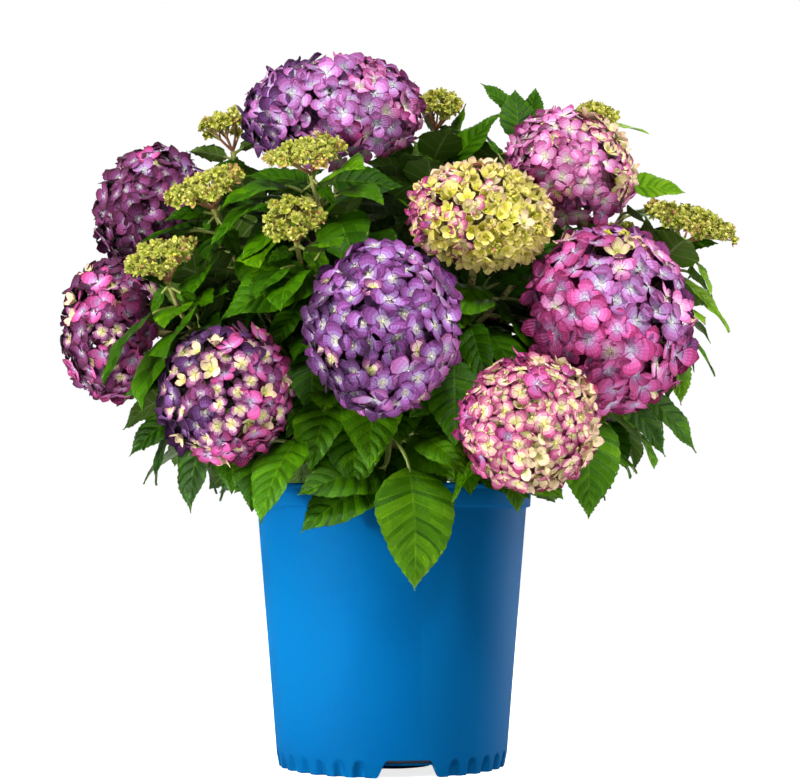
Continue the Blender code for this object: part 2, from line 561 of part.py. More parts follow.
def rule_leaf(shoot, points, share, spin, size, rng):
    """A leaf of a pair: its stalk leaves the branch sideways and ahead, its blade reaches out and droops."""
    root, ahead = along(points, share)
    side, up = side_and_up(ahead)
    a = spin + math.radians(rng.uniform(-22, 22))
    out = side * math.cos(a) + up * math.sin(a)
    from_axis = root * vec(1, 1, 0)
    outward = unit(from_axis + vec(1e-6, 0, 0))
    stalk = unit(out + ahead * rng.uniform(0.35, 0.8) + outward * 0.25)
    base = root + stalk * rng.uniform(0.016, 0.032)
    lead = unit(stalk + outward * rng.uniform(0.1, 0.6) + vec(0, 0, rng.uniform(-0.85, 0.10)))
    face = vec(0, 0, 1) + outward * rng.uniform(0.3, 1.2) + out * rng.uniform(-0.2, 0.2)
    long = size * rng.uniform(0.72, 1.08)
    wide = long * LEAF_ASPECT * rng.uniform(0.90, 1.08)
    return make_leaf(shoot, root, base, lead, face, long, wide, math.radians(rng.uniform(18, 58)), 0.18)


def grow_leaves():
    """The shown leaves, then pairs along every branch from its end back, each where it touches nothing."""
    rng = random.Random(SEED)
    branches = all_branches()
    fixed = obstacles_of(branches)
    grown, taken = [], []

    def keep(leaf):
        points, faces = blade(leaf)
        grown.append(leaf)
        taken.append((leaf["shoot"], search_tree((points, faces)), points.min(axis=0), points.max(axis=0)))

    for row in SHOWN_LEAVES:
        for attempt in range(SHOWN_TRIES):
            leaf = shown_leaf(row, branches, attempt / SHOWN_TRIES, rng)
            if leaf_fits(leaf, fixed, taken, shown=True):
                keep(leaf)
                break
    spots = []
    for shoot, own in branches.items():
        for branch, points in own.items():
            long = arc_lengths(points)[-1]
            size = {"stem": STEM_LEAF}.get(branch, BUD_LEAF if branch in [b[0] for b in BUDS] else TWIG_LEAF)
            first = 0.014 if branch != "stem" else 0.020
            pairs = int((long - first - 0.012) / PAIR_STEP) + 1
            for k in range(pairs):
                share = 1 - (first + k * PAIR_STEP) / long
                spots.append((k, shoot, points, share, size))
    for k, shoot, points, share, size in sorted(spots, key=lambda spot: spot[0]):
        spin = rng.uniform(-0.5, 0.5) + k * math.pi / 2
        for side in (0, math.pi):
            if sum(leaf["shoot"] == shoot for leaf in grown) >= MOST_LEAVES:
                break
            for attempt in range(TRIES):
                leaf = rule_leaf(shoot, points, share, spin + side, size * (1 - 0.018 * attempt), rng)
                if leaf_fits(leaf, fixed, taken):
                    keep(leaf)
                    break
    return branches, grown


# --- Objects -----------------------------------------------------------------------------------------------
def material(name, colour, roughness):
    """A plain Principled material."""
    made = bpy.data.materials.new(name)
    made.use_nodes = True
    shader = made.node_tree.nodes["Principled BSDF"]
    shader.inputs["Base Color"].default_value = (*colour, 1.0)
    shader.inputs["Roughness"].default_value = roughness
    shader.inputs["Metallic"].default_value = 0.0
    made.diffuse_color = (*colour, 1.0)
    return made


def put(name, shape, look, smooth=False):
    """An object of the closed shape (points, faces), its faces turned outwards."""
    mesh = bpy.data.meshes.new(name)
    mesh.from_pydata([tuple(p) for p in shape[0]], [], shape[1])
    work = bmesh.new()
    work.from_mesh(mesh)
    bmesh.ops.recalc_face_normals(work, faces=work.faces)
    work.to_mesh(mesh)
    work.free()
    if smooth:
        mesh.shade_smooth()
        mesh.set_sharp_from_angle(angle=math.radians(35))
    mesh.materials.append(look)
    obj = bpy.data.objects.new(name, mesh)
    bpy.context.scene.collection.objects.link(obj)
    return obj


def apply_modifiers(obj):
    """The object's mesh as its modifiers leave it."""
    graph = bpy.context.evaluated_depsgraph_get()
    solid = bpy.data.meshes.new_from_object(obj.evaluated_get(graph))
    obj.modifiers.clear()
    old, obj.data = obj.data, solid
    solid.name = obj.name
    bpy.data.meshes.remove(old)


def largest_only(obj):
    """Drops loose scraps, and the inner skins of sealed hollows, which fills them."""
    work = bmesh.new()
    work.from_mesh(obj.data)
    left, groups = set(work.verts), []
    while left:
        group, edge = set(), [next(iter(left))]
        while edge:
            vert = edge.pop()
            if vert in group:
                continue
            group.add(vert)
            edge += [e.other_vert(vert) for e in vert.link_edges if e.other_vert(vert) not in group]
        groups.append(group)
        left -= group
    groups.sort(key=len)
    for group in groups[:-1]:
        bmesh.ops.delete(work, geom=list(group), context="VERTS")
    work.to_mesh(obj.data)
    work.free()


def fuse(obj, shapes, solver="MANIFOLD"):
    """Joins every shape to the object by one Boolean union on a collection, applied."""
    group = bpy.data.collections.new(obj.name + "_parts")
    bpy.context.scene.collection.children.link(group)
    look = obj.data.materials[0]
    for shape in shapes:
        piece = put(obj.name + "_piece", shape, look)
        bpy.context.scene.collection.objects.unlink(piece)
        group.objects.link(piece)
    union = obj.modifiers.new("union", "BOOLEAN")
    union.operation, union.solver = "UNION", solver
    union.operand_type, union.collection = "COLLECTION", group
    apply_modifiers(obj)
    for piece in list(group.objects):
        mesh = piece.data
        bpy.data.objects.remove(piece)
        bpy.data.meshes.remove(mesh)
    bpy.data.collections.remove(group)
    largest_only(obj)
    return obj


def cut(obj, shapes):
    """Cuts every shape away from the object."""
    for number, shape in enumerate(shapes):
        cutter = put(f"{obj.name}_cutter_{number}", shape, obj.data.materials[0])
        cutter.hide_render, cutter.display_type = True, "WIRE"
        trim = obj.modifiers.new(f"cut_{number}", "BOOLEAN")
        trim.operation, trim.solver, trim.object = "DIFFERENCE", "EXACT", cutter
    apply_modifiers(obj)
    for number in range(len(shapes)):
        cutter = bpy.data.objects[f"{obj.name}_cutter_{number}"]
        mesh = cutter.data
        bpy.data.objects.remove(cutter)
        bpy.data.meshes.remove(mesh)


def notch_shape(turn):
    """A drainage notch: a wedge that narrows upwards, through the wall at the foot."""
    out = vec(math.sin(turn), -math.cos(turn), 0)
    side = vec(math.cos(turn), math.sin(turn), 0)
    foot, top = NOTCH_FOOT_W / 2, NOTCH_TOP_W / 2
    points = []
    for reach in (FOOT_INNER_R - 0.0040, BODY_FOOT_R + 0.0040):
        for across, z in ((-foot, -0.004), (foot, -0.004), (top, NOTCH_H), (-top, NOTCH_H)):
            points.append(out * reach + side * across + vec(0, 0, z))
    faces = [(0, 1, 2, 3), (7, 6, 5, 4), (0, 4, 5, 1), (1, 5, 6, 2), (2, 6, 7, 3), (3, 7, 4, 0)]
    return np.array(points), faces


def flute_shape(turn):
    """A shallow upright flute in the foot of the wall, pointed at its top."""
    out = vec(math.sin(turn), -math.cos(turn), 0)
    side = vec(math.cos(turn), math.sin(turn), 0)
    face = FOOT_R + 0.0035
    half = FLUTE_W / 2 * (face - FOOT_R + FLUTE_DEEP) / FLUTE_DEEP
    points = [
        out * face + side * half + vec(0, 0, -0.002),
        out * face - side * half + vec(0, 0, -0.002),
        out * (FOOT_R - FLUTE_DEEP) + vec(0, 0, -0.002),
        out * (face + 0.001) + vec(0, 0, FLUTE_H + 0.004),
    ]
    return np.array(points), [(0, 1, 2), (0, 3, 1), (1, 3, 2), (2, 3, 0)]


def pot_and_soil():
    """The pot with its notches and flutes, and the potting mix it is filled with."""
    blue = material("pot_blue", (0.004, 0.165, 0.52), 0.38)
    pot = put("pot", turned_solid(pot_profile(), POT_SIDES), blue)
    turns = [NOTCH_TURN + 2 * math.pi * k / NOTCHES for k in range(NOTCHES)]
    flutes = [t + FLUTE_FIRST + FLUTE_STEP * k for t in turns for k in range(FLUTES)]
    cut(pot, [notch_shape(t) for t in turns] + [flute_shape(t) for t in flutes])
    pot.data.shade_smooth()
    pot.data.set_sharp_from_angle(angle=math.radians(35))
    floor = FLOOR_Z + FLOOR_THICK + GAP
    profile = [
        (0.0, floor),
        (BODY_FOOT_R - 0.0050, floor),
        (BODY_FOOT_R - WALL - GAP - 0.0002, BODY_FOOT_Z + 0.0030),
        (BODY_TOP_R - WALL - 0.0014, SOIL_TOP),
        (0.05, SOIL_TOP + SOIL_DOME),
        (0.0, SOIL_TOP + SOIL_DOME),
    ]
    mix = material("potting_mix", (0.045, 0.028, 0.018), 0.95)
    put("potting_mix", turned_solid(profile, SOIL_SIDES), mix)


def stem_base_and_canes(branches):
    """The woody foot on the mix, a stub for each cane, and the canes, one tapering limb each."""
    bark = material("bark", (0.20, 0.13, 0.075), 0.85)
    floor = SOIL_TOP + SOIL_DOME + GAP
    profile = [
        (0.0, floor),
        (BASE_FLARE_R, floor),
        (BASE_FLARE_R * 0.95, floor + 0.003),
        (BASE_R, floor + 0.010),
        (BASE_R * 0.86, floor + BASE_H * 0.75),
        (BASE_R * 0.40, floor + BASE_H),
        (0.0, floor + BASE_H),
    ]
    stubs = []
    for row in SHOOTS:
        start, leave, _ = shoot_path(row)
        line = np.array([start - leave * 0.006, start + leave * STUB_LONG])
        stubs.append(tube(line, CANE_R * 1.15, CANE_R * 1.02))
    fuse(put("stem_base", turned_solid(profile, 12), bark), stubs, "EXACT")
    for row in SHOOTS:
        path = stretch(shoot_path(row)[2], 0, row[8], CANE_RINGS)
        green_bark = material("cane_" + row[0], (0.30, 0.27, 0.12), 0.7)
        put("cane_" + row[0], tube(path, CANE_R, CANE_TIP_R), green_bark, smooth=True)


def foliage(branches, leaves):
    """One mass for each shoot: its stem, bud stalks and side shoots with every leaf, fused."""
    bud_ways = {bud[0]: unit(bud[4]) for bud in BUDS}
    for row in SHOOTS:
        name = row[0]
        own = branches[name]
        stem = own["stem"].copy()
        stem[0] += unit(stem[1] - stem[0]) * GAP
        green = material("leaves_" + name, (0.055, 0.160, 0.022), 0.5)
        shapes = []
        for branch, points in own.items():
            if branch != "stem":
                shapes.append(tube(points, SIDE_R, SIDE_TIP_R, TWIG_SIDES, bud_ways.get(branch)))
        shapes += [blade(leaf) for leaf in leaves if leaf["shoot"] == name]
        obj = put("foliage_" + name, tube(stem, STEM_R, STEM_TIP_R, end_way=unit(row[2])), green)
        fuse(obj, shapes)


def flower_heads():
    """Each head is a ball of florets fused on its own stalk."""
    rng = random.Random(SEED + 1)
    for row in SHOOTS:
        name, centre, facing, wide, high, deep = row[:6]
        centre, facing, axes = vec(centre), unit(facing), head_axes(facing)
        start = centre - facing * (deep + HEAD_NECK)
        look = material("florets_" + name, BLOOM_COLOURS[name], 0.6)
        obj = put("bloom_" + name, tube(np.array([start, centre]), STEM_TIP_R, STEM_TIP_R), look)
        fuse(obj, [floret_ball(np.array([wide, high, deep]), centre, axes, rng)])


def bud_clusters():
    """Each cluster is a stalk that opens into rays, under a low dome of buds."""
    for name, _, _, centre, facing, wide, high in BUDS:
        points, faces = turned_solid(bud_profile(wide, high), 8)
        dome = points[:, 2] > high * 0.2
        turn = np.arctan2(points[:, 1], points[:, 0])
        points[dome, 2] += 0.0022 * np.sign(np.sin(4 * turn[dome] + 0.3)) * (points[dome, 2] < high * 0.99)
        shape = (vec(centre) + points @ head_axes(facing), faces)
        put("buds_" + name, shape, material("buds_" + name, (0.36, 0.40, 0.07), 0.65))


for leftover in list(bpy.data.objects):
    bpy.data.objects.remove(leftover)
shoots, leaf_list = grow_leaves()
pot_and_soil()
stem_base_and_canes(shoots)
foliage(shoots, leaf_list)
flower_heads()
bud_clusters()
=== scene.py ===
"""A mophead hydrangea in its nursery pot: the finished looks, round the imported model.

The studio comes first, then the object in the order in which it is put together: pot, potting mix, stem base,
canes, green stems, leaves, flower heads and bud clusters.
"""

import math
import random

import bpy
import numpy as np
from mathutils.bvhtree import BVHTree
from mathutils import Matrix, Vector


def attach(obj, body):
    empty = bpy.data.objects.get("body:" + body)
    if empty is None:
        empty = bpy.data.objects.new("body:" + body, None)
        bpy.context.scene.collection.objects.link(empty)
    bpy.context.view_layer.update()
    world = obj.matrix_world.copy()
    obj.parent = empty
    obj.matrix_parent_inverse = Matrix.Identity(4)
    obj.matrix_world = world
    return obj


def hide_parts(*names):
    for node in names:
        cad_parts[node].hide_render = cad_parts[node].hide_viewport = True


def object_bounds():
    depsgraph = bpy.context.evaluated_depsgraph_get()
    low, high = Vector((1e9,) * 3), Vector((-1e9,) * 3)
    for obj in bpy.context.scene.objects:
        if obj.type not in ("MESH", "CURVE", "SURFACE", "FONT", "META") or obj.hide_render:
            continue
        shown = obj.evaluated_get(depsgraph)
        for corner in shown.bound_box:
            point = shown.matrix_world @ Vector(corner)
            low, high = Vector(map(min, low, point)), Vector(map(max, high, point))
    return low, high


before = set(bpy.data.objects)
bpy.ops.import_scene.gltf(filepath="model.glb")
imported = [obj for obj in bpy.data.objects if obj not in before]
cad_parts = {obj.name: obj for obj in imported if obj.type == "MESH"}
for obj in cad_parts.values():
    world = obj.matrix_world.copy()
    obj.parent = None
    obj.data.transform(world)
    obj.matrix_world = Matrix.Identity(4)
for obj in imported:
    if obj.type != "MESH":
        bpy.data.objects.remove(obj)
solid_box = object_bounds()


# --- Studio ------------------------------------------------------------------------------------------------
# A pale floor in a white room: a soft lamp high at the front, one low at the left, weaker ones at the right
# and behind, and two hooded lamps that light only the pot's sides. The camera stands 1.55 m from the pot.
CAMERA_AT, CAMERA_TILT = (0.0067, -1.55, 0.192), 4.27
LENS, SENSOR = 83.8, 36.0
ROOM_LIGHT, ROOM_SEEN = 0.25, 1.0
FLOOR_REACH, FLOOR_DROP, FLOOR_GLOW = 9.0, 0.0003, 0.80


def aimed_lamp(name, place, target, size, power, beam=180.0):
    """A square area lamp of side size: its -Z looks from place to target, its light spreads by beam degrees."""
    data = bpy.data.lights.new(name, "AREA")
    data.size, data.energy, data.spread = size, power, math.radians(beam)
    lamp = bpy.data.objects.new(name, data)
    bpy.context.scene.collection.objects.link(lamp)
    lamp.location = place
    way = Vector(target) - Vector(place)
    lamp.rotation_euler = way.to_track_quat("-Z", "Y").to_euler()


lens = bpy.data.cameras.new("camera")
lens.lens, lens.sensor_width, lens.clip_start, lens.clip_end = LENS, SENSOR, 0.05, 60.0
camera = bpy.data.objects.new("camera", lens)
camera.location = CAMERA_AT
camera.rotation_euler = (math.radians(90 + CAMERA_TILT), 0.0, 0.0)
bpy.context.scene.collection.objects.link(camera)
bpy.context.scene.camera = camera
bpy.context.scene.view_settings.view_transform = "Standard"

aimed_lamp("lamp_front_high", (0.25, -1.9, 2.25), (0.0, 0.0, 0.36), 0.6, 66.0)
aimed_lamp("lamp_low_left", (-2.1, -1.2, 0.45), (0.0, 0.0, 0.20), 0.8, 52.0)
aimed_lamp("lamp_right", (2.2, -0.3, 1.5), (0.0, 0.0, 0.44), 1.2, 32.0)
aimed_lamp("lamp_back", (0.3, 2.2, 1.9), (0.0, 0.0, 0.35), 1.4, 30.0)
aimed_lamp("lamp_pot_left", (-1.8, -1.3, 0.10), (-0.02, 0.0, 0.110), 0.16, 0.42, 10.0)
aimed_lamp("lamp_pot_right", (1.46, 1.22, 0.10), (0.02, 0.0, 0.100), 0.30, 0.24, 10.0)


def add_nodes(tree, *kinds):
    """New shader nodes of some kinds in a node tree."""
    return [tree.nodes.new("ShaderNode" + kind) for kind in kinds]


def join(tree, *wires):
    """Links in a node tree, each given as (node, its output, node, its input)."""
    for giver, output, taker, taken in wires:
        tree.links.new(giver.outputs[output], taker.inputs[taken])


room = bpy.data.worlds.new("room")
room.use_nodes = True
bpy.context.scene.world = room
walls = room.node_tree.nodes["Background"]
walls.inputs["Color"].default_value = (1.0, 1.0, 1.0, 1.0)
seen, bright = add_nodes(room.node_tree, "LightPath", "MapRange")
bright.inputs["To Min"].default_value, bright.inputs["To Max"].default_value = ROOM_LIGHT, ROOM_SEEN
join(room.node_tree, (seen, "Is Camera Ray", bright, "Value"), (bright, "Result", walls, "Strength"))


def linear(rgb):
    """Display values from 0 to 255 as the linear colour that a shader takes: ((c + 0.055) / 1.055) ** 2.4."""
    c = np.array(rgb, float) / 255
    return tuple(np.where(c <= 0.04045, c / 12.92, ((c + 0.055) / 1.055) ** 2.4)) + (1.0,)


def node_group(name, given, out):
    """A node group, its input node and its output node; an input is given as (name, value)."""
    group = bpy.data.node_groups.new(name, "ShaderNodeTree")
    for socket, value in given:
        made = group.interface.new_socket(socket, in_out="INPUT", socket_type="NodeSocketFloat")
        made.default_value = value
    for socket in out:
        group.interface.new_socket(socket, in_out="OUTPUT", socket_type="NodeSocketFloat")
    return group, group.nodes.new("NodeGroupInput"), group.nodes.new("NodeGroupOutput")


uneven_surface, given, out = node_group(
    "uneven_surface", (("Scale", 200.0), ("Smoothest", 0.4), ("Roughest", 0.6)), ("Roughness", "Height")
)
place, cloud, spread = add_nodes(uneven_surface, "TexCoord", "TexNoise", "MapRange")
cloud.inputs["Detail"].default_value = 3.0
join(
    uneven_surface, (place, "Object", cloud, "Vector"), (given, "Scale", cloud, "Scale"),
    (cloud, "Fac", spread, "Value"), (given, "Smoothest", spread, "To Min"),
    (given, "Roughest", spread, "To Max"), (spread, "Result", out, "Roughness"), (cloud, "Fac", out, "Height"),
)


def finish(name, rgb, rough, scale, relief, strength, gloss, sheen=0.0):
    """A surface of one colour. Its roughness, between the two values of rough, and its relief, in metres and
    with the strength given, both follow the noise of uneven_surface; gloss is the specular level."""
    made = bpy.data.materials.new(name)
    made.use_nodes = True
    tree = made.node_tree
    shader = tree.nodes["Principled BSDF"]
    shader.inputs["Base Color"].default_value = linear(rgb)
    shader.inputs["Specular IOR Level"].default_value = gloss
    shader.inputs["Sheen Weight"].default_value = sheen
    (uneven,) = add_nodes(tree, "Group")
    uneven.node_tree = uneven_surface
    uneven.inputs["Scale"].default_value = scale
    uneven.inputs["Smoothest"].default_value, uneven.inputs["Roughest"].default_value = rough
    join(tree, (uneven, "Roughness", shader, "Roughness"))
    if strength:
        (bump,) = add_nodes(tree, "Bump")
        bump.inputs["Strength"].default_value, bump.inputs["Distance"].default_value = strength, relief
        join(tree, (uneven, "Height", bump, "Height"), (bump, "Normal", shader, "Normal"))
    made.diffuse_color = linear(rgb)
    return made


def piece(name, parts, looks, smooth=True):
    """One mesh of many parts, each (points, faces as rows of equal length, look number or one for each face)
    and, where its surface has ribs, the place of each point across and along them, kept as the UV map ribs."""
    points, loops, starts, slots, ribs = [], [], [], [], []
    shift, start = 0, 0
    for where, faces, look, *across in parts:
        where, faces = np.asarray(where, float).reshape(-1, 3), np.asarray(faces, int)
        points.append(where)
        loops.append((faces + shift).ravel())
        ribs.append(across[0] if across else np.zeros((len(where), 2)))
        starts.append(start + np.arange(len(faces)) * faces.shape[1])
        slots.append(np.broadcast_to(np.asarray(look, int).ravel(), (len(faces),)))
        shift += len(where)
        start += faces.size
    points, loops, starts = np.concatenate(points), np.concatenate(loops), np.concatenate(starts)
    mesh = bpy.data.meshes.new(name)
    mesh.vertices.add(len(points))
    mesh.loops.add(len(loops))
    mesh.polygons.add(len(starts))
    mesh.vertices.foreach_set("co", points.astype(np.float32).ravel())
    mesh.loops.foreach_set("vertex_index", loops.astype(np.int32))
    mesh.polygons.foreach_set("loop_start", starts.astype(np.int32))
    mesh.polygons.foreach_set("use_smooth", np.full(len(starts), smooth))
    used, slots = np.unique(np.concatenate(slots), return_inverse=True)
    mesh.polygons.foreach_set("material_index", slots.ravel().astype(np.int32))
    for look in used:
        mesh.materials.append(looks[look])
    if any(len(part) > 3 for part in parts):
        places = np.concatenate(ribs)[loops].astype(np.float32)
        mesh.uv_layers.new(name="ribs").data.foreach_set("uv", places.ravel())
    mesh.update(calc_edges=True)
    mesh.validate()
    made = bpy.data.objects.new(name, mesh)
    bpy.context.scene.collection.objects.link(made)
    return made


def sheet_faces(rows, columns, closed=False):
    """The quads of a grid of points kept row after row; closed joins its last column to its first."""
    i, j = np.mgrid[0 : rows - 1, 0 : columns if closed else columns - 1]
    k = (j + 1) % columns
    here, next_row = i * columns, (i + 1) * columns
    return np.stack([here + j, next_row + j, next_row + k, here + k], -1).reshape(-1, 4)


floor_paint = finish("floor_paint", (244, 244, 244), (0.6, 0.75), 4.0, relief=0.0, strength=0.0, gloss=0.1)
tree = floor_paint.node_tree
seen, glow = add_nodes(tree, "LightPath", "Math")
shader = tree.nodes["Principled BSDF"]
glow.operation = "MULTIPLY"
glow.inputs[1].default_value = FLOOR_GLOW
shader.inputs["Emission Color"].default_value = (1.0, 1.0, 1.0, 1.0)
join(tree, (seen, "Is Camera Ray", glow, 0), (glow, "Value", shader, "Emission Strength"))
corners = [(x * FLOOR_REACH, y * FLOOR_REACH, -FLOOR_DROP) for x, y in ((-1, -1), (1, -1), (1, 1), (-1, 1))]
floor = piece("floor", [(corners, [(0, 1, 2, 3)], 0)], [floor_paint])


# --- Pot ---------------------------------------------------------------------------------------------------
# A trade nursery pot, blown in satin blue plastic about 1.6 mm thick. It has a rolled rim over a straight
# band, a tapered wall, arched flutes round its foot and three drainage notches that show the dark inside.
RIM_Z, RIM_R = 0.2285, 0.1165
BAND_Z, BAND_R = 0.2115, 0.1147
BODY_TOP_R, BODY_FOOT_R, BODY_FOOT_Z = 0.1112, 0.0947, 0.0110
FOOT_R, FOOT_INNER_R = 0.0925, 0.0895
WALL = 0.0016
FLOOR_Z, FLOOR_THICK = 0.0090, 0.0020
PAD_R = 0.0340
NOTCH_TURN, NOTCHES = math.radians(8.3), 3
NOTCH_FOOT_W, NOTCH_TOP_W, NOTCH_H = 0.0500, 0.0320, 0.0137
FLUTES, FLUTE_FIRST, FLUTE_STEP = 8, math.radians(23.6), math.radians(10.4)
FLUTE_W, FLUTE_H, FLUTE_DEEP = 0.0092, 0.0132, 0.0044
POT_COLUMNS = 540
CUT_REACH = 0.0180  # the rows below this height bend up over the notches
PLATE_TOP, PLATE_R, PLATE_COLUMNS = 0.0110, 0.0902, 180
NOTCH_ROOM = 0.0042  # how far the raised bottom stays back from a notch


def pot_radius(height):
    """The wall's outer radius at a height: a line up the foot, then the body's taper."""
    return np.interp(height, [0.0, BODY_FOOT_Z - 0.0015, BODY_FOOT_Z + 0.0020, BAND_Z - 0.0030],
                     [FOOT_R, BODY_FOOT_R - 0.0003, BODY_FOOT_R + 0.0001, BODY_TOP_R])


def notch_height(turn):
    """How far the wall's lower edge is cut up at each turn: a trapezium with eased corners at every notch."""
    step = 2 * math.pi / NOTCHES
    off = np.abs((turn - NOTCH_TURN + step / 2) % step - step / 2) * FOOT_R
    slope = (NOTCH_FOOT_W / 2 - off) / ((NOTCH_FOOT_W - NOTCH_TOP_W) / 2)
    return NOTCH_H * (0.5 - 0.5 * np.cos(math.pi * np.clip(slope, 0, 1))) ** 0.8


def flute_depth(turn, height):
    """How deep the wall is pressed in at the foot: under each arch, a half round across its width."""
    step = 2 * math.pi / NOTCHES
    off = (turn - NOTCH_TURN) % step - FLUTE_FIRST
    number = np.clip(np.round(off / FLUTE_STEP), 0, FLUTES - 1)
    across = (off - number * FLUTE_STEP) * FOOT_R / (FLUTE_W / 2)
    return FLUTE_DEEP * np.sqrt(np.clip(1 - across**2 - np.clip(height / FLUTE_H, 0, 2) ** 5, 0, 1))


def turned_sheet(radius, height, turn):
    """Points at (radius sin t, -radius cos t, height) for arrays of radius and height over rows and turns."""
    radius, height, turn = np.broadcast_arrays(radius, height, turn)
    return np.stack([radius * np.sin(turn), -radius * np.cos(turn), height], -1)


turn = np.linspace(0, 2 * math.pi, POT_COLUMNS, endpoint=False)[None, :]
low = np.concatenate([np.linspace(0, 0.015, 13), [CUT_REACH]])[:, None]
cut = notch_height(turn)
low = cut + low * (1 - cut / CUT_REACH)
body = np.array([0.024, 0.040, 0.080, 0.120, 0.160, 0.195, BAND_Z - 0.0036])[:, None]
outside_r = [pot_radius(low) - flute_depth(turn, low), pot_radius(body) + 0 * turn]
outside_z = [low + 0 * turn, body + 0 * turn]
# radius and height round the rim and down the inner wall
rim = np.array([
    (BODY_TOP_R, BAND_Z - 0.0024), (BODY_TOP_R + 0.0004, BAND_Z - 0.0014), (BAND_R - 0.0006, BAND_Z - 0.0008),
    (BAND_R, BAND_Z + 0.0002), (BAND_R + 0.0004, 0.2180), (BAND_R + 0.0007, 0.2228),
    (BAND_R + 0.0003, 0.2236), (BAND_R + 0.0003, 0.2244), (RIM_R - 0.0006, 0.2249),
    (RIM_R, 0.2258), (RIM_R, 0.2270), (RIM_R - 0.0005, 0.2280),
    (RIM_R - 0.0014, RIM_Z), (RIM_R - 0.0024, RIM_Z - 0.0004), (RIM_R - 0.0029, 0.2268),
    (BAND_R - WALL - 0.0002, 0.2240), (BAND_R - WALL - 0.0002, BAND_Z + 0.0010),
    (BODY_TOP_R - WALL, BAND_Z - 0.0050), (0.1045, 0.1500), (0.0990, 0.0800),
    (BODY_FOOT_R - WALL, BODY_FOOT_Z + 0.0060),
])
inside = np.array([BODY_FOOT_R - WALL - 0.0010, FOOT_INNER_R + 0.0012, FOOT_INNER_R + 0.0002])[:, None]
inside_z = np.array([0.0145, 0.0090, 0.0])[:, None]
inside_r = inside - flute_depth(turn, inside_z) * 0.6
inside_z = np.maximum(inside_z, cut + 0.0002 * np.array([[3], [2], [1]]))
rows_r = np.concatenate([*outside_r, rim[:, :1] + 0 * turn, inside_r, outside_r[0][:1]])
rows_z = np.concatenate([*outside_z, rim[:, 1:] + 0 * turn, inside_z, outside_z[0][:1]])
wall = turned_sheet(rows_r, rows_z, turn)
wall_faces = sheet_faces(len(rows_r), POT_COLUMNS, closed=True)[:, ::-1]
# radius and height of the raised bottom, from the middle of its pad out to the wall and back over it
around = np.linspace(0, 2 * math.pi, PLATE_COLUMNS, endpoint=False)[None, :]
dent = np.where(notch_height(around) > 0.006, NOTCH_ROOM, 0.0)
bottom = np.array([
    (0.0004, 0), (0.012, 0), (PAD_R - 0.0012, 0), (PAD_R, 0.0012), (PAD_R + 0.0013, FLOOR_Z - 0.0014),
    (PAD_R + 0.0026, FLOOR_Z), (0.060, FLOOR_Z), (PLATE_R - 0.0006, FLOOR_Z), (PLATE_R, FLOOR_Z + 0.001),
    (PLATE_R - 0.0006, PLATE_TOP), (0.0004, PLATE_TOP),
])
plate = turned_sheet(bottom[:, :1] - dent * (bottom[:, :1] > 0.085), bottom[:, 1:], around)
plate_faces = sheet_faces(len(bottom), PLATE_COLUMNS, closed=True)[:, ::-1]
blue = finish("blue_plastic", (0, 73, 121), (0.55, 0.65), 900.0, 0.00008, 0.25, 0.015)
pot = piece("pot_shell", [(wall, wall_faces, 0), (plate, plate_faces, 0)], [blue])
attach(pot, "root")
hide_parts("pot")


# --- Potting mix -------------------------------------------------------------------------------------------
# Damp composted bark and peat, filled to 2.5 cm under the rim. The solid filling keeps its place; on it lies a
# loose skin of crumbs and bark chips, which have settled into each other.
SOIL_TOP, SOIL_DOME = 0.2030, 0.0030
CRUMBS, CRUMB_REACH, CRUMB_SIZES = 900, 0.1050, (0.0012, 0.0042)
FLAT_R = 0.0500  # crumbs lie level up to this radius; beyond it they lie 1.6 mm lower and fall by 3 in 100
soil_looks = [
    finish("mix_dark", (44, 31, 24), (0.85, 0.98), 700.0, 0.0012, 0.8, 0.2),
    finish("mix_brown", (78, 54, 38), (0.8, 0.95), 700.0, 0.0008, 0.8, 0.2),
    finish("mix_chip", (116, 82, 56), (0.75, 0.9), 900.0, 0.0005, 0.7, 0.2),
]
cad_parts["potting_mix"].data.materials.clear()
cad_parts["potting_mix"].data.materials.append(soil_looks[0])
rng = np.random.default_rng(71)
reach = CRUMB_REACH * np.sqrt(rng.random(CRUMBS))
angle = rng.random(CRUMBS) * 2 * math.pi
size = rng.uniform(*CRUMB_SIZES, CRUMBS)
top = SOIL_TOP + SOIL_DOME - 0.0016 * (reach > FLAT_R) - (np.clip(reach - FLAT_R, 0, 1) * 0.03)
heart = np.stack([reach * np.sin(angle), -reach * np.cos(angle), top + size * 0.15], -1)
corner = np.array([(x, y, z) for z in (-1, 1) for x, y in ((-1, -1), (1, -1), (1, 1), (-1, 1))])
ways = np.linalg.qr(rng.normal(size=(CRUMBS, 3, 3)))[0]
shape = corner * (1 + 0.35 * rng.uniform(-1, 1, (CRUMBS, 8, 3))) * np.array([1.0, 0.62, 0.42])
chips = heart[:, None, :] + np.einsum("nij,nkj->nki", ways, shape * size[:, None, None] / 2)
block = np.array([(0, 3, 2, 1), (4, 5, 6, 7), (0, 1, 5, 4), (1, 2, 6, 5), (2, 3, 7, 6), (3, 0, 4, 7)])
numbers = np.arange(CRUMBS)[:, None, None] * 8
hue = np.repeat(rng.choice([0, 1, 2], CRUMBS, p=[0.5, 0.35, 0.15]), 6)
crumbs = piece("mix_crumbs", [(chips, (block[None] + numbers).reshape(-1, 4), hue)], soil_looks, smooth=False)
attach(crumbs, "root")


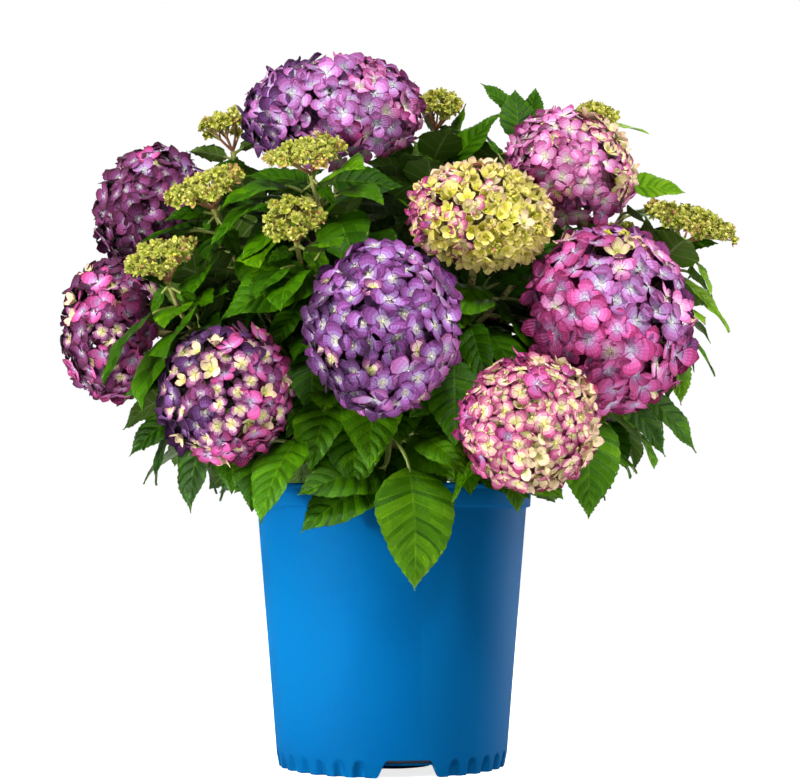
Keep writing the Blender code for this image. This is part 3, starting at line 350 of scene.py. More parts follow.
# --- Stem base and canes -----------------------------------------------------------------------------------
# The woody foot of the shrub stands on the mix, with a stub for each cane. The canes are last year's wood,
# green under thin brown bark. All are worked out from one row of the plan for each shoot.
GAP = 0.0003  # left between one solid and the next, also where they are grown together
BASE_R, BASE_FLARE_R, BASE_H = 0.0270, 0.0350, 0.0260
BASE_COLUMNS, LIMB_SIDES, CANE_ROWS, STUB_ROWS = 96, 18, 60, 12
STUB_LONG = 0.0170
CANE_R, CANE_TIP_R = 0.0046, 0.0039
STEM_R, STEM_TIP_R = 0.0038, 0.0031
HEAD_NECK = 0.0120

# name, flower head centre, the way it faces, half width, half height, half depth, stem base ring radius and
# turn (degrees from -Y towards +X), share of the path that is bare cane
SHOOTS = (
    ("top", (-0.051, 0.020, 0.547), (-0.05, -0.30, 0.95), 0.080, 0.066, 0.049, 0.006, 250, 0.36),
    ("left_high", (-0.210, 0.040, 0.471), (-0.80, -0.15, 0.50), 0.058, 0.055, 0.043, 0.024, 285, 0.33),
    ("left_low", (-0.233, -0.005, 0.358), (-0.93, -0.25, 0.05), 0.060, 0.061, 0.043, 0.025, 262, 0.28),
    ("front_left", (-0.127, -0.130, 0.295), (-0.45, -0.85, 0.15), 0.054, 0.054, 0.045, 0.024, 318, 0.22),
    ("front", (-0.006, -0.170, 0.342), (0.02, -0.95, 0.22), 0.0585, 0.067, 0.050, 0.024, 355, 0.22),
    ("inner_right", (0.070, -0.100, 0.438), (0.10, -0.55, 0.83), 0.0590, 0.058, 0.039, 0.012, 35, 0.34),
    ("right_high", (0.149, -0.015, 0.4935), (0.35, -0.45, 0.82), 0.058, 0.056, 0.047, 0.014, 95, 0.34),
    ("right", (0.173, -0.095, 0.358), (0.50, -0.80, 0.20), 0.071, 0.077, 0.052, 0.025, 68, 0.28),
    ("front_right", (0.103, -0.170, 0.271), (0.25, -0.92, 0.05), 0.054, 0.052, 0.044, 0.024, 32, 0.22),
    ("back_right_high", (0.085, 0.135, 0.430), (0.35, 0.55, 0.75), 0.060, 0.060, 0.045, 0.013, 150, 0.34),
    ("back_left_high", (-0.085, 0.140, 0.440), (-0.40, 0.50, 0.77), 0.062, 0.062, 0.046, 0.014, 205, 0.34),
    ("back", (0.000, 0.205, 0.330), (0.00, 0.95, 0.30), 0.060, 0.060, 0.046, 0.025, 180, 0.28),
    ("back_right", (0.170, 0.120, 0.330), (0.60, 0.75, 0.20), 0.056, 0.056, 0.044, 0.025, 125, 0.28),
    ("back_left", (-0.165, 0.140, 0.325), (-0.60, 0.75, 0.20), 0.055, 0.055, 0.043, 0.025, 232, 0.28),
)


def vec(*xyz):
    """A point or a direction as a numpy array."""
    return np.array(xyz if len(xyz) == 3 else xyz[0], dtype=float)


def unit(v):
    """v at length 1."""
    v = vec(v)
    return v / np.linalg.norm(v)


def units(rows):
    """Each row at length 1."""
    return rows / np.linalg.norm(rows, axis=1, keepdims=True)


def side_and_up(axis):
    """Two unit vectors square to the axis: one level and, but for an upright axis, one as upright as can be."""
    axis = unit(axis)
    upright = abs(axis[2]) > 0.97
    side = unit(np.cross(axis, (0.0, 1.0, 0.0) if upright else (0.0, 0.0, 1.0)))
    return side, np.cross(side, axis)


def bezier(a, b, c, d, count):
    """count points of the cubic curve that leaves a towards b and comes into d from c."""
    t = np.linspace(0.0, 1.0, count)[:, None]
    return a * (1 - t) ** 3 + 3 * b * t * (1 - t) ** 2 + 3 * c * t**2 * (1 - t) + d * t**3


def arc_lengths(points):
    """Length along a path at each of its points."""
    return np.concatenate([[0.0], np.cumsum(np.linalg.norm(np.diff(points, axis=0), axis=1))])


def along(points, share):
    """(point, direction) at a share of the path's length."""
    length = arc_lengths(points)
    at = share * length[-1]
    i = int(min(np.searchsorted(length, at, side="right") - 1, len(points) - 2))
    part = (at - length[i]) / (length[i + 1] - length[i])
    return points[i] + part * (points[i + 1] - points[i]), unit(points[i + 1] - points[i])


def stretch(points, start, end, count):
    """The path between two shares of its length, as count evenly spaced points."""
    return np.array([along(points, s)[0] for s in np.linspace(start, end, count)])


def shoot_path(row):
    """(start of the stub, its direction, path from the stub's end to the flower head's stalk)."""
    _, centre, facing, _, _, deep, ring, turn, _ = row
    a = math.radians(turn)
    out = vec(math.sin(a), -math.cos(a), 0.0)
    start = out * ring + vec(0, 0, SOIL_TOP + SOIL_DOME + BASE_H * (0.80 - 0.25 * ring / BASE_R))
    facing = unit(facing)
    end = vec(centre) - facing * (deep + HEAD_NECK + GAP)
    leave = unit(out * (0.25 + 12 * ring) + unit(end - start) * 0.6 + vec(0, 0, 0.7))
    first = start + leave * (STUB_LONG + GAP)
    span = np.linalg.norm(end - first)
    path = bezier(first, first + leave * 0.36 * span, end - facing * 0.34 * span, end, 49)
    return start, leave, path


def limb(path, radius, sides, relief=0.0, seed=0, ends=None):
    """A round limb along a path: ring k has radius r(k) (1 + relief w), w a sum of waves round and along it.
    Each ring's side vector is the last one's, made square to the path again, so that the rings do not twist.
    ends is the way that the last ring faces."""
    path = np.asarray(path, float)
    steps = np.gradient(path, axis=0)
    if ends is not None:
        steps[-1] = ends
    steps = units(steps)
    sides_at = [side_and_up(steps[0])[0]]
    for ahead in steps[1:]:
        sides_at.append(unit(sides_at[-1] - ahead * (sides_at[-1] @ ahead)))
    side = np.array(sides_at)[:, None, :]
    across = np.cross(steps, side[:, 0])[:, None, :]
    turn = np.linspace(0, 2 * math.pi, sides, endpoint=False)[None, :]
    run = arc_lengths(path)[:, None]
    noise = np.random.default_rng(seed)
    wave = 0
    for k in range(1, 7):
        shift = noise.uniform(0, 6.28, 2)
        round_it = np.sin(k * turn + shift[0] + run * noise.uniform(20, 160))
        wave = wave + round_it * np.cos(run * 70 * k + shift[1]) / k
    size = np.broadcast_to(np.asarray(radius, float).reshape(-1, 1), run.shape) * (1 + relief * wave)
    ring = side * np.cos(turn)[..., None] + across * np.sin(turn)[..., None]
    return path[:, None, :] + size[..., None] * ring


def capped(points, look, specks=(), seed=0):
    """A limb's rings as parts: its sides, with specks of another look here and there, and its two ends. A
    speck is (look, share of the faces)."""
    rows, columns = points.shape[:2]
    faces = sheet_faces(rows, columns, closed=True)[:, ::-1]
    looks = np.full(len(faces), look)
    dealt = np.random.default_rng(seed).random(len(faces))
    for other, share in specks:
        looks[(dealt < share) & (looks == look)] = other
        dealt -= share
        dealt[dealt < 0] = 1.0
    ring = np.arange(columns)
    ends = []
    for row, order in ((0, ring), (rows - 1, ring[::-1])):
        corners = np.concatenate([points[row], points[row].mean(axis=0)[None]])
        ends.append((corners, np.stack([order, np.full(columns, columns), np.roll(order, -1)], -1), look))
    return [(points.reshape(-1, 3), faces, looks), *ends]


bark = finish("brown_bark", (112, 84, 58), (0.7, 0.9), 500.0, 0.0006, 0.8, 0.25)
pale_bark = finish("pale_bark", (150, 120, 84), (0.7, 0.9), 500.0, 0.0005, 0.7, 0.25)
green_bark = finish("green_bark", (124, 128, 66), (0.55, 0.75), 600.0, 0.0003, 0.5, 0.3)
floor_of_base = SOIL_TOP + SOIL_DOME + GAP
height = np.array([0.0, 0.0015, 0.004, 0.008, 0.012, 0.016, 0.0195, 0.0225, 0.0248, 0.0260])[:, None]
around = np.linspace(0, 2 * math.pi, BASE_COLUMNS, endpoint=False)[None, :]
swell = np.interp(height, [0, 0.003, 0.010, 0.0195, 0.0240, 0.0260],
                  [BASE_FLARE_R, BASE_FLARE_R * 0.95, BASE_R, BASE_R * 0.86, BASE_R * 0.55, 0.0030])
knots = 1 + 0.035 * np.sin(7 * around + 40 * height) + 0.02 * np.sin(19 * around) + 0.012 * np.sin(43 * around)
foot = turned_sheet(swell * np.minimum(knots, 1.03), floor_of_base + height, around)
parts = [(foot, sheet_faces(len(height), BASE_COLUMNS, closed=True)[:, ::-1], 0)]
for number, row in enumerate(SHOOTS):
    start, leave, path = shoot_path(row)
    line = np.array([start + leave * s for s in np.linspace(-0.006, STUB_LONG, STUB_ROWS)])
    stub = limb(line, np.linspace(CANE_R * 1.15, CANE_R * 1.02, STUB_ROWS), LIMB_SIDES, 0.05, number)
    parts += capped(stub, 0, [(1, 0.2)], number)
    radius = np.linspace(CANE_R, CANE_TIP_R, CANE_ROWS)
    cane = limb(stretch(path, 0, row[8], CANE_ROWS), radius, LIMB_SIDES, 0.045, 50 + number)
    parts_of_cane = capped(cane, 2, [(0, 0.28), (1, 0.14)], number)
    made = piece("cane_wood_" + row[0], parts_of_cane, [bark, pale_bark, green_bark])
    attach(made, "root")
    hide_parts("cane_" + row[0])
wood = piece("stem_base_wood", parts, [bark, pale_bark])
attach(wood, "root")
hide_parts("stem_base")


# --- Green stems -------------------------------------------------------------------------------------------
# This year's growth runs on from each cane to its flower head, with side shoots and the stalks of bud clusters.
# It is pale green, swollen where leaves join, and flecked with small brown pores.
SIDE_R, SIDE_TIP_R = 0.0027, 0.0021
STEM_RINGS, SIDE_RINGS = 7, 4  # of the plain paths that the leaves are set along
STEM_ROWS, SIDE_ROWS = 90, 44  # of the stems as they are made
STEM_FIRST, SIDE_FIRST = 0.0200, 0.0140  # from the tip back to the last pair of leaves
END_ROOM = 0.0120  # at the root, which stays bare
BUD_STALK = 0.0160
PAIR_STEP = 0.0320

# Bud clusters on side shoots: name, shoot it branches from, share of the shoot's path, centre, facing,
# half width, half height
BUDS = (
    ("top_left", "back_left_high", 0.52, (-0.146, 0.072, 0.545), (-0.25, -0.10, 1.0), 0.025, 0.019),
    ("left_high", "left_high", 0.50, (-0.151, -0.050, 0.468), (-0.38, -0.50, 1.0), 0.036, 0.015),
    ("top_front", "top", 0.62, (-0.067, -0.085, 0.490), (-0.20, -0.50, 1.0), 0.036, 0.015),
    ("left_front", "left_low", 0.52, (-0.183, -0.085, 0.405), (-0.32, -0.60, 1.0), 0.033, 0.017),
    ("inner_left", "front", 0.38, (-0.076, -0.120, 0.430), (-0.12, -1.00, 0.9), 0.027, 0.018),
    ("top_right_buds", "inner_right", 0.46, (0.0400, 0.060, 0.560), (0.10, -0.50, 1.0), 0.023, 0.018),
    ("right_top", "right_high", 0.60, (0.178, 0.060, 0.553), (0.15, -0.40, 1.0), 0.021, 0.015),
    ("right_edge", "right", 0.50, (0.250, 0.000, 0.448), (0.32, -0.38, 1.0), 0.043, 0.016),
    ("back_top", "back_right_high", 0.60, (0.010, 0.170, 0.500), (0.0, 0.25, 1.0), 0.030, 0.018),
    ("back_far_left", "left_high", 0.62, (-0.182, 0.126, 0.436), (-0.25, 0.2, 1.0), 0.030, 0.018),
    ("back_far_right", "right_high", 0.50, (0.200, 0.085, 0.445), (0.25, 0.2, 1.0), 0.032, 0.018),
    ("back_low", "back_right_high", 0.56, (0.066, 0.238, 0.422), (0.0, 0.3, 1.0), 0.028, 0.018),
)
# Leafy side shoots: name, shoot each branches from, share of the shoot's path, end
TWIGS = (
    ("under_front", "front", 0.55, (-0.050, -0.105, 0.300)),
    ("front_gap_left", "front_left", 0.60, (-0.066, -0.085, 0.335)),
    ("front_gap_right", "front_right", 0.60, (0.058, -0.112, 0.325)),
    ("inner_fill", "inner_right", 0.62, (0.105, -0.060, 0.400)),
    ("over_rim", "front", 0.40, (0.002, -0.120, 0.264)),
    ("left_over_rim", "front_left", 0.45, (-0.074, -0.117, 0.262)),
    ("left_skirt", "left_low", 0.50, (-0.150, -0.060, 0.292)),
    ("left_back", "left_low", 0.75, (-0.175, 0.070, 0.330)),
    ("right_over_rim", "front_right", 0.40, (0.138, -0.100, 0.264)),
    ("right_skirt", "right", 0.55, (0.178, -0.018, 0.292)),
    ("top_right", "inner_right", 0.55, (0.085, 0.010, 0.462)),
    ("top_left", "top", 0.70, (-0.105, -0.040, 0.430)),
    ("between_tops", "right_high", 0.75, (0.112, 0.052, 0.524)),
    ("right_mid", "right_high", 0.60, (0.200, 0.036, 0.462)),
    ("left_shoulder", "left_high", 0.70, (-0.125, 0.055, 0.470)),
    ("back_skirt_left", "back", 0.45, (-0.060, 0.165, 0.270)),
    ("left_back_skirt", "back_left", 0.60, (-0.165, 0.070, 0.265)),
    ("right_back_skirt", "back_right", 0.60, (0.170, 0.050, 0.272)),
    ("back_skirt_right", "back_right", 0.50, (0.085, 0.165, 0.275)),
    ("back_shoulder", "back_left_high", 0.72, (-0.006, 0.120, 0.478)),
)


def bud_path(row, stem):
    """The side shoot from a share of its stem's path to the point where the bud cluster's rays meet."""
    _, _, share, centre, facing, _, high = row
    start, ahead = along(stem, share)
    facing = unit(facing)
    end = vec(centre) - facing * (high + BUD_STALK + GAP)
    span = np.linalg.norm(end - start)
    leave = unit(ahead * 0.5 + unit(end - start))
    return bezier(start, start + leave * 0.3 * span, end - facing * 0.38 * span, end, 25)


def twig_path(row, stem):
    """A leafy side shoot: it leaves its stem at a share of the path and ends rising gently outwards."""
    _, _, share, end = row
    start, ahead = along(stem, share)
    end = vec(end)
    span = np.linalg.norm(end - start)
    leave = unit(ahead * 0.4 + unit(end - start))
    arrive = unit(unit(end - start) * 0.8 + vec(0, 0, 0.35))
    return bezier(start, start + leave * 0.3 * span, end - arrive * 0.35 * span, end, 17)


def side_branches(shoot, line):
    """The bud stalks, then the twigs, of a shoot: each one's name, path and the way its end faces, if set."""
    stalks = [(row[0], bud_path(row, line), unit(row[4])) for row in BUDS if row[1] == shoot]
    return stalks + [(row[0], twig_path(row, line), None) for row in TWIGS if row[1] == shoot]


def all_branches():
    """Each shoot's branches, as plain paths: the stem above the cane, bud stalks and leafy side shoots."""
    branches = {}
    for row in SHOOTS:
        line = shoot_path(row)[2]
        branches[row[0]] = {"stem": stretch(line, row[8], 1.0, STEM_RINGS)}
        for name, path, _ in side_branches(row[0], line):
            branches[row[0]][name] = stretch(path, 0, 1, SIDE_RINGS)
    return branches


stem_looks = [
    finish("stem_green", (150, 152, 82), (0.45, 0.6), 700.0, 0.0002, 0.4, 0.35),
    finish("stem_pale", (178, 168, 104), (0.45, 0.6), 700.0, 0.0002, 0.4, 0.35),
    finish("stem_pore", (118, 66, 40), (0.6, 0.8), 700.0, 0.0002, 0.4, 0.25),
    finish("stem_shade", (110, 122, 56), (0.45, 0.6), 700.0, 0.0002, 0.4, 0.35),
]


def knotted(long, count, first, start, end):
    """Radii along a stem: a straight taper, a quarter thicker in a bell 3 mm wide at each pair of leaves."""
    run = np.linspace(0, long, count)
    pairs = long - first - np.arange(int((long - first - END_ROOM) / PAIR_STEP) + 1) * PAIR_STEP
    bell = np.exp(-(((run[:, None] - pairs[None]) / 0.0028) ** 2)).sum(axis=1)
    return np.linspace(start, end, count) * (1 + 0.25 * bell)


flecks = [(1, 0.30), (3, 0.22), (2, 0.05)]
for number, row in enumerate(SHOOTS):
    name, line = row[0], shoot_path(row)[2]
    path = stretch(line, row[8], 1.0, STEM_ROWS)
    path[0] += unit(path[1] - path[0]) * GAP
    radius = knotted(arc_lengths(path)[-1], STEM_ROWS, STEM_FIRST, STEM_R, STEM_TIP_R)
    parts = capped(limb(path, radius, 14, 0.02, number, unit(row[2])), 0, flecks, number)
    for _, curve, ends in side_branches(name, line):
        radius = knotted(arc_lengths(curve)[-1], SIDE_ROWS, SIDE_FIRST, SIDE_R, SIDE_TIP_R)
        path = stretch(curve, 0, 1, SIDE_ROWS)
        parts += capped(limb(path, radius, 10, 0.02, number, ends), 0, flecks, number + 20)
    stems = piece("stems_" + name, parts, stem_looks)
    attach(stems, "root")
    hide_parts("foliage_" + name)


# --- Leaves ------------------------------------------------------------------------------------------------
# Broad toothed leaves on short stalks, each quilted between its side veins and paler beneath. The ones that
# show best have a row each; the rest follow the rule, in crosswise pairs, and none is set where it would touch
# another limb, flower head or shoot's leaf.
PETIOLE_R = 0.0016
PLAIN_LEAF = 0.080  # longer leaves have two more corners
LEAF_THICK = 0.0200  # of the length, through the midrib
LEAF_ASPECT, LEAF_FOLD = 0.70, 0.18
LAST_ROOT = 0.0030
CLEAR = 0.0012  # kept between a leaf and all that it must not touch
SEED = 2611
CROWN_AT, CROWN_REACH = (0.0, -0.005, 0.350), (0.270, 0.268, 0.205)
CROWN_FOOT = 0.214
STEM_LEAF, TWIG_LEAF, BUD_LEAF = 0.100, 0.088, 0.070
SHOWN_TRIES, MOST_LEAVES, TRIES = 150, 20, 24
FILL_STEP, FILL_TRIES, FILL_LEAF, MOST_FILLED = 0.0065, 8, 0.086, 56
CANE_RINGS, LIMB_CORNERS, POT_SIDES = 6, 6, 36  # of the plain shapes that leaves are kept clear of

# The leaves that show best, one row each: shoot, the branch it grows from and the share of it, then compass
# turn, rise and length of the stalk, the same three for the blade, its width over length, droop and roll
SHOWN_LEAVES = (
    ("front", "inner_left", 0.85, 20, 5, 0.023, -72, -14, 0.084, 0.66, 30, -42),
    ("front", "inner_left", 0.72, 70, 35, 0.042, 75, 25, 0.066, 0.46, 40, 25),
    ("front", "inner_left", 0.40, -15, -20, 0.022, -60, -40, 0.074, 0.65, 30, -25),
    ("front", "stem", 0.92, -5, -30, 0.030, -5, -35, 0.084, 0.60, 40, 0),
    ("front", "over_rim", 0.80, -30, -60, 0.030, -50, -6, 0.076, 0.62, 30, -45),
    ("front", "over_rim", 0.66, -28, -58, 0.042, -54, -22, 0.076, 0.60, 30, -40),
    ("front", "over_rim", 0.97, 32, -48, 0.034, 26, -72, 0.094, 0.70, 25, 0),
    ("front", "over_rim", 0.80, 45, -10, 0.024, 66, 12, 0.074, 0.58, 35, 45),
    ("front", "under_front", 0.90, -25, 0, 0.016, -28, -34, 0.082, 0.64, 35, 0),
    ("front", "under_front", 0.60, 10, -15, 0.022, 2, -52, 0.080, 0.64, 30, 0),
    ("front_left", "front_gap_left", 0.85, 20, 0, 0.016, 14, -52, 0.074, 0.62, 30, 0),
    ("front_right", "front_gap_right", 0.90, -10, 0, 0.016, 0, -52, 0.078, 0.64, 30, 0),
    ("inner_right", "inner_fill", 0.90, 60, 10, 0.016, 75, -30, 0.056, 0.60, 30, 0),
    ("front_right", "stem", 0.92, -25, -40, 0.020, -70, -35, 0.056, 0.62, 30, 0),
    ("front_right", "stem", 0.90, -10, -50, 0.034, 40, -45, 0.044, 0.64, 25, 0),
    ("front_right", "right_over_rim", 0.90, 55, 45, 0.034, 15, -62, 0.088, 0.62, 35, 0),
    ("front_left", "left_over_rim", 0.90, 0, 10, 0.016, -35, -38, 0.082, 0.60, 40, 0),
    ("front_left", "left_over_rim", 0.80, -75, 20, 0.026, -22, -48, 0.072, 0.64, 30, 0),
    ("front_left", "stem", 0.80, -68, 0, 0.058, -40, -58, 0.072, 0.56, 30, 0),
    ("front_left", "stem", 0.86, -45, -15, 0.038, -10, -58, 0.062, 0.60, 20, 0),
    ("left_low", "left_front", 0.50, 0, -25, 0.020, -75, -8, 0.086, 0.56, 35, -40),
    ("left_low", "left_skirt", 0.95, -85, 15, 0.030, -62, -20, 0.058, 0.46, 40, 50),
    ("left_low", "left_skirt", 0.80, -90, -10, 0.027, -65, -25, 0.060, 0.50, 40, -40),
    ("top", "top_front", 0.80, -110, 20, 0.022, -80, 20, 0.080, 0.54, 25, -35),
    ("top", "top_front", 0.92, 160, 40, 0.034, 86, 2, 0.062, 0.58, 20, 50),
    ("top", "top_front", 0.88, -165, 42, 0.036, -92, 16, 0.060, 0.58, 20, -35),
    ("inner_right", "stem", 0.84, 30, -10, 0.040, -64, 0, 0.070, 0.58, 30, -40),
    ("inner_right", "stem", 0.52, 8, 5, 0.062, 10, -50, 0.062, 0.42, 30, 40),
    ("inner_right", "top_right_buds", 0.90, 60, 50, 0.026, 120, 75, 0.046, 0.46, 10, 0),
    ("inner_right", "top_right_buds", 0.84, 30, 35, 0.026, 80, 54, 0.068, 0.56, 20, 50),
    ("back_left_high", "top_left", 0.97, -15, 35, 0.020, -12, -48, 0.044, 0.64, 25, 0),
    ("back_left_high", "top_left", 0.92, 40, 35, 0.018, 50, -30, 0.046, 0.60, 30, 30),
    ("right_high", "between_tops", 0.97, -30, 70, 0.010, -172, 78, 0.052, 0.62, 15, 0),
    ("right_high", "between_tops", 0.95, 120, 72, 0.022, 150, 74, 0.046, 0.56, 15, 0),
    ("right_high", "between_tops", 0.90, -175, 71, 0.047, -98, 48, 0.046, 0.42, 15, -50),
    ("right_high", "between_tops", 0.84, -100, 52, 0.028, -95, 60, 0.036, 0.40, 15, -20),
    ("right_high", "right_top", 0.97, 135, 62, 0.046, 84, -2, 0.046, 0.42, 20, 20),
    ("right_high", "right_mid", 0.97, 60, 70, 0.024, 88, 2, 0.054, 0.66, 20, 45),
    ("right_high", "right_mid", 0.92, 100, 45, 0.022, 84, 8, 0.048, 0.50, 20, 30),
    ("right", "right_edge", 0.86, 125, 25, 0.026, 80, -34, 0.066, 0.38, 30, 25),
    ("right", "right_edge", 0.68, 25, -5, 0.052, 25, -58, 0.064, 0.46, 30, 0),
    ("right", "right_edge", 0.74, 60, -20, 0.031, 75, -38, 0.060, 0.46, 30, 0),
    ("right", "right_edge", 0.97, 80, 20, 0.024, 72, -58, 0.034, 0.40, 15, 15),
    ("right", "right_skirt", 0.80, 50, 12, 0.036, 72, -44, 0.060, 0.42, 30, 40),
    ("right", "right_skirt", 0.92, 80, 15, 0.040, 84, -38, 0.064, 0.48, 30, 40),
)


def turned(v, axis, angle):
    """v turned about a unit axis: v cos a + (axis x v) sin a + axis (axis.v)(1 - cos a)."""
    c, s = math.cos(angle), math.sin(angle)
    return v * c + np.cross(axis, v) * s + axis * (axis @ v) * (1 - c)


def plain_limb(path, start, end):
    """A limb whose radius runs from start to end: its points and its faces, with a flat cap at each end."""
    rows, sides = len(path), LIMB_CORNERS
    points = limb(path, np.linspace(start, end, rows), sides).reshape(-1, 3)
    first, last = list(range(sides))[::-1], list(range((rows - 1) * sides, rows * sides))
    return points, [first, last, *sheet_faces(rows, sides, closed=True)[:, [0, 3, 2, 1]].tolist()]


def pole_faces(rings, sides):
    """The quads, then the triangles, of rings between two poles, with the points kept as pole, rings, pole."""
    k = np.arange(sides)
    n = (k + 1) % sides
    last = 1 + rings * sides
    low_fan = np.stack([0 * k, 1 + n, 1 + k], 1)
    top_fan = np.stack([0 * k + last, last - sides + k, last - sides + n], 1)
    return 1 + sheet_faces(rings, sides, closed=True)[:, [0, 3, 2, 1]], np.concatenate([low_fan, top_fan])


def turned_solid(profile, sides):
    """A profile of (radius, height), its two ends on the axis, turned about Z: its points and its faces."""
    profile = np.array(profile)
    turn = 2 * math.pi * np.arange(sides)[None, :] / sides
    rings = turned_sheet(profile[1:-1, :1], profile[1:-1, 1:], turn).reshape(-1, 3)
    quads, fans = pole_faces(len(profile) - 2, sides)
    points = np.concatenate([[(0, 0, profile[0, 1])], rings, [(0, 0, profile[-1, 1])]])
    return points, quads.tolist() + fans.tolist()


def globe(rings, sides, radii, centre, axes):
    """An ellipsoid of few faces: radii along the three axes about its centre."""
    angle = math.pi * np.arange(rings + 1) / rings
    points, faces = turned_solid(np.stack([np.sin(angle), -np.cos(angle)], 1), sides)
    return centre + (points * radii) @ axes, faces


def blade(leaf, grow=0.0, with_stalk=True):
    """A leaf as a plain solid, grown outwards by grow: a folded, drooping plate, thick along its midrib, on a
    three-sided stalk. Its points are the rim from the stalk round the tip, then the keel and the two crests."""
    d, n = leaf["ahead"], leaf["face"]
    w = np.cross(d, n)
    long, wide, droop = leaf["long"], leaf["wide"], leaf["droop"]
    base, root = leaf["base"], leaf["root"]

    def at(share, across):
        """A point of the blade: its midrib is an arc that turns down by droop, its halves fold up."""
        turn = max(droop, 1e-3)
        a = turn * share
        ahead = d * math.cos(a) - n * math.sin(a)
        face = d * math.sin(a) + n * math.cos(a)
        spine = base + long / turn * (d * math.sin(a) - n * (1 - math.cos(a)))
        reach = across * (wide / 2) + grow * np.sign(across)
        return spine + w * reach + face * abs(reach) * leaf["fold"], ahead, face

    thick = LEAF_THICK * long / 2 + grow
    radius = PETIOLE_R + grow
    tip, ahead, _ = at(1.0, 0.0)
    middle, _, face = at(0.46, 0.0)
    right, left = [at(0.38, 1.0)[0]], [at(0.38, -1.0)[0]]
    if long > PLAIN_LEAF:
        right, left = [at(0.34, 1.0)[0], at(0.70, 0.66)[0]], [at(0.70, -0.66)[0], at(0.34, -1.0)[0]]
    base_ring = [base - w * radius + n * radius / 2, base + w * radius + n * radius / 2]
    rim = [*base_ring, *right, tip + ahead * grow, *left]
    last, keel, over, under = len(rim) - 1, len(rim), len(rim) + 1, len(rim) + 2
    points = [*rim, base - n * radius, middle + face * thick, middle - face * thick]
    faces = [(over, k, (k + 1) % (last + 1)) for k in range(last + 1)]
    faces += [(under, k + 1, k) for k in range(1, last)]
    faces += [(under, 0, last), (under, keel, 0), (under, 1, keel)]
    if not with_stalk:
        return np.array(points), faces + [(0, keel, 1)]
    stalk = unit(base - root)
    up = unit(n - stalk * (n @ stalk))
    across = np.cross(stalk, up)
    points += [
        root - across * radius + up * radius / 2,
        root + across * radius + up * radius / 2,
        root - up * radius,
    ]
    a, b, c = under + 1, under + 2, under + 3
    faces += [(a, b, 1), (a, 1, 0), (b, c, keel), (b, keel, 1), (c, a, 0), (c, 0, keel), (a, c, b)]
    return np.array(points), faces


def pot_profile(grow):
    """The pot's wall, rim, raised bottom and central foot as one closed profile, grown outwards by grow."""
    return [
        (0.0, 0.0),
        (PAD_R, 0.0),
        (PAD_R + 0.0015, FLOOR_Z),
        (FOOT_INNER_R - 0.0010, FLOOR_Z),
        (FOOT_INNER_R, 0.0),
        (FOOT_R + grow, 0.0),
        (BODY_FOOT_R + grow, BODY_FOOT_Z),
        (BODY_TOP_R + grow, BAND_Z - 0.0030),
        (BAND_R + grow, BAND_Z - 0.0008),
        (RIM_R - 0.0009 + grow, RIM_Z - 0.0040),
        (RIM_R + grow, RIM_Z - 0.0022),
        (RIM_R - 0.0005 + grow, RIM_Z + grow),
        (RIM_R - 0.0026 - grow, RIM_Z + grow),
        (BAND_R - WALL - 0.0002 - grow, BAND_Z),
        (BODY_TOP_R - WALL - grow, BAND_Z - 0.0050),
        (BODY_FOOT_R - WALL - grow, BODY_FOOT_Z + 0.0020),
        (BODY_FOOT_R - 0.0042, FLOOR_Z + FLOOR_THICK),
        (0.0, FLOOR_Z + FLOOR_THICK),
    ]


def bud_profile(half_wide, half_high):
    """A bud cluster about its stalk: the stalk, rays opening like a cup, and a low dome of buds on top."""
    return [
        (0.0, -half_high - BUD_STALK),
        (SIDE_TIP_R, -half_high - BUD_STALK),
        (SIDE_TIP_R, -half_high),
        (half_wide * 0.74, -half_high * 0.10),
        (half_wide, half_high * 0.30),
        (half_wide * 0.60, half_high * 0.82),
        (0.0, half_high),
    ]


def head_axes(facing):
    """Rows: the level side, the near-upright side and the facing direction of a flower head."""
    side, up = side_and_up(facing)
    return np.array([side, up, unit(facing)])


def heading(turn, rise):
    """A unit vector by compass turn (degrees from -Y towards +X) and rise (degrees above level)."""
    turn, rise = math.radians(turn), math.radians(rise)
    return vec(math.sin(turn) * math.cos(rise), -math.cos(turn) * math.cos(rise), math.sin(rise))


def make_leaf(shoot, root, base, ahead, face, long, wide, droop, fold):
    """One leaf's sizes and pose; face is made square to the way the blade leaves its stalk."""
    ahead = unit(ahead)
    face = unit(face - ahead * (ahead @ face))
    sizes = dict(long=long, wide=wide, droop=droop, fold=fold)
    return dict(shoot=shoot, root=root, base=base, ahead=ahead, face=face, **sizes)


def shown_leaf(row, branches, give, rng):
    """A leaf of the plan's table, its face up but for its roll; give, 0 to 1, loosens the pose to find room."""
    shoot, branch, share, turn, rise, reach, blade_turn, blade_rise, long, aspect, droop, roll = row
    if give:
        share = min(max(share + give * rng.uniform(-0.25, 0.10), 0.1), 0.97)
        turn, rise = turn + give * rng.uniform(-70, 70), rise + give * rng.uniform(-60, 60)
        blade_turn += give * rng.uniform(-22, 22)
        blade_rise += give * rng.uniform(-18, 18)
        reach *= 1 + give * rng.uniform(-0.4, 0.8)
        long *= 1 - 0.22 * give
    path = branches[shoot][branch]
    root, _ = along(path, min(share, 1 - LAST_ROOT / arc_lengths(path)[-1]))
    base = root + heading(turn, rise) * reach
    ahead = heading(blade_turn, blade_rise)
    face = turned(heading(blade_turn, blade_rise + 90), ahead, math.radians(roll))
    return make_leaf(shoot, root, base, ahead, face, long, long * aspect, math.radians(droop), LEAF_FOLD)


def search_tree(shape):
    """A tree over the faces of (points, faces), for touch tests."""
    return BVHTree.FromPolygons([tuple(p) for p in shape[0]], shape[1])


def stand_in(owner, shape):
    """A shape ready for touch tests: the shoot that owns it, its search tree and its box's two corners."""
    return owner, search_tree(shape), shape[0].min(axis=0), shape[0].max(axis=0)


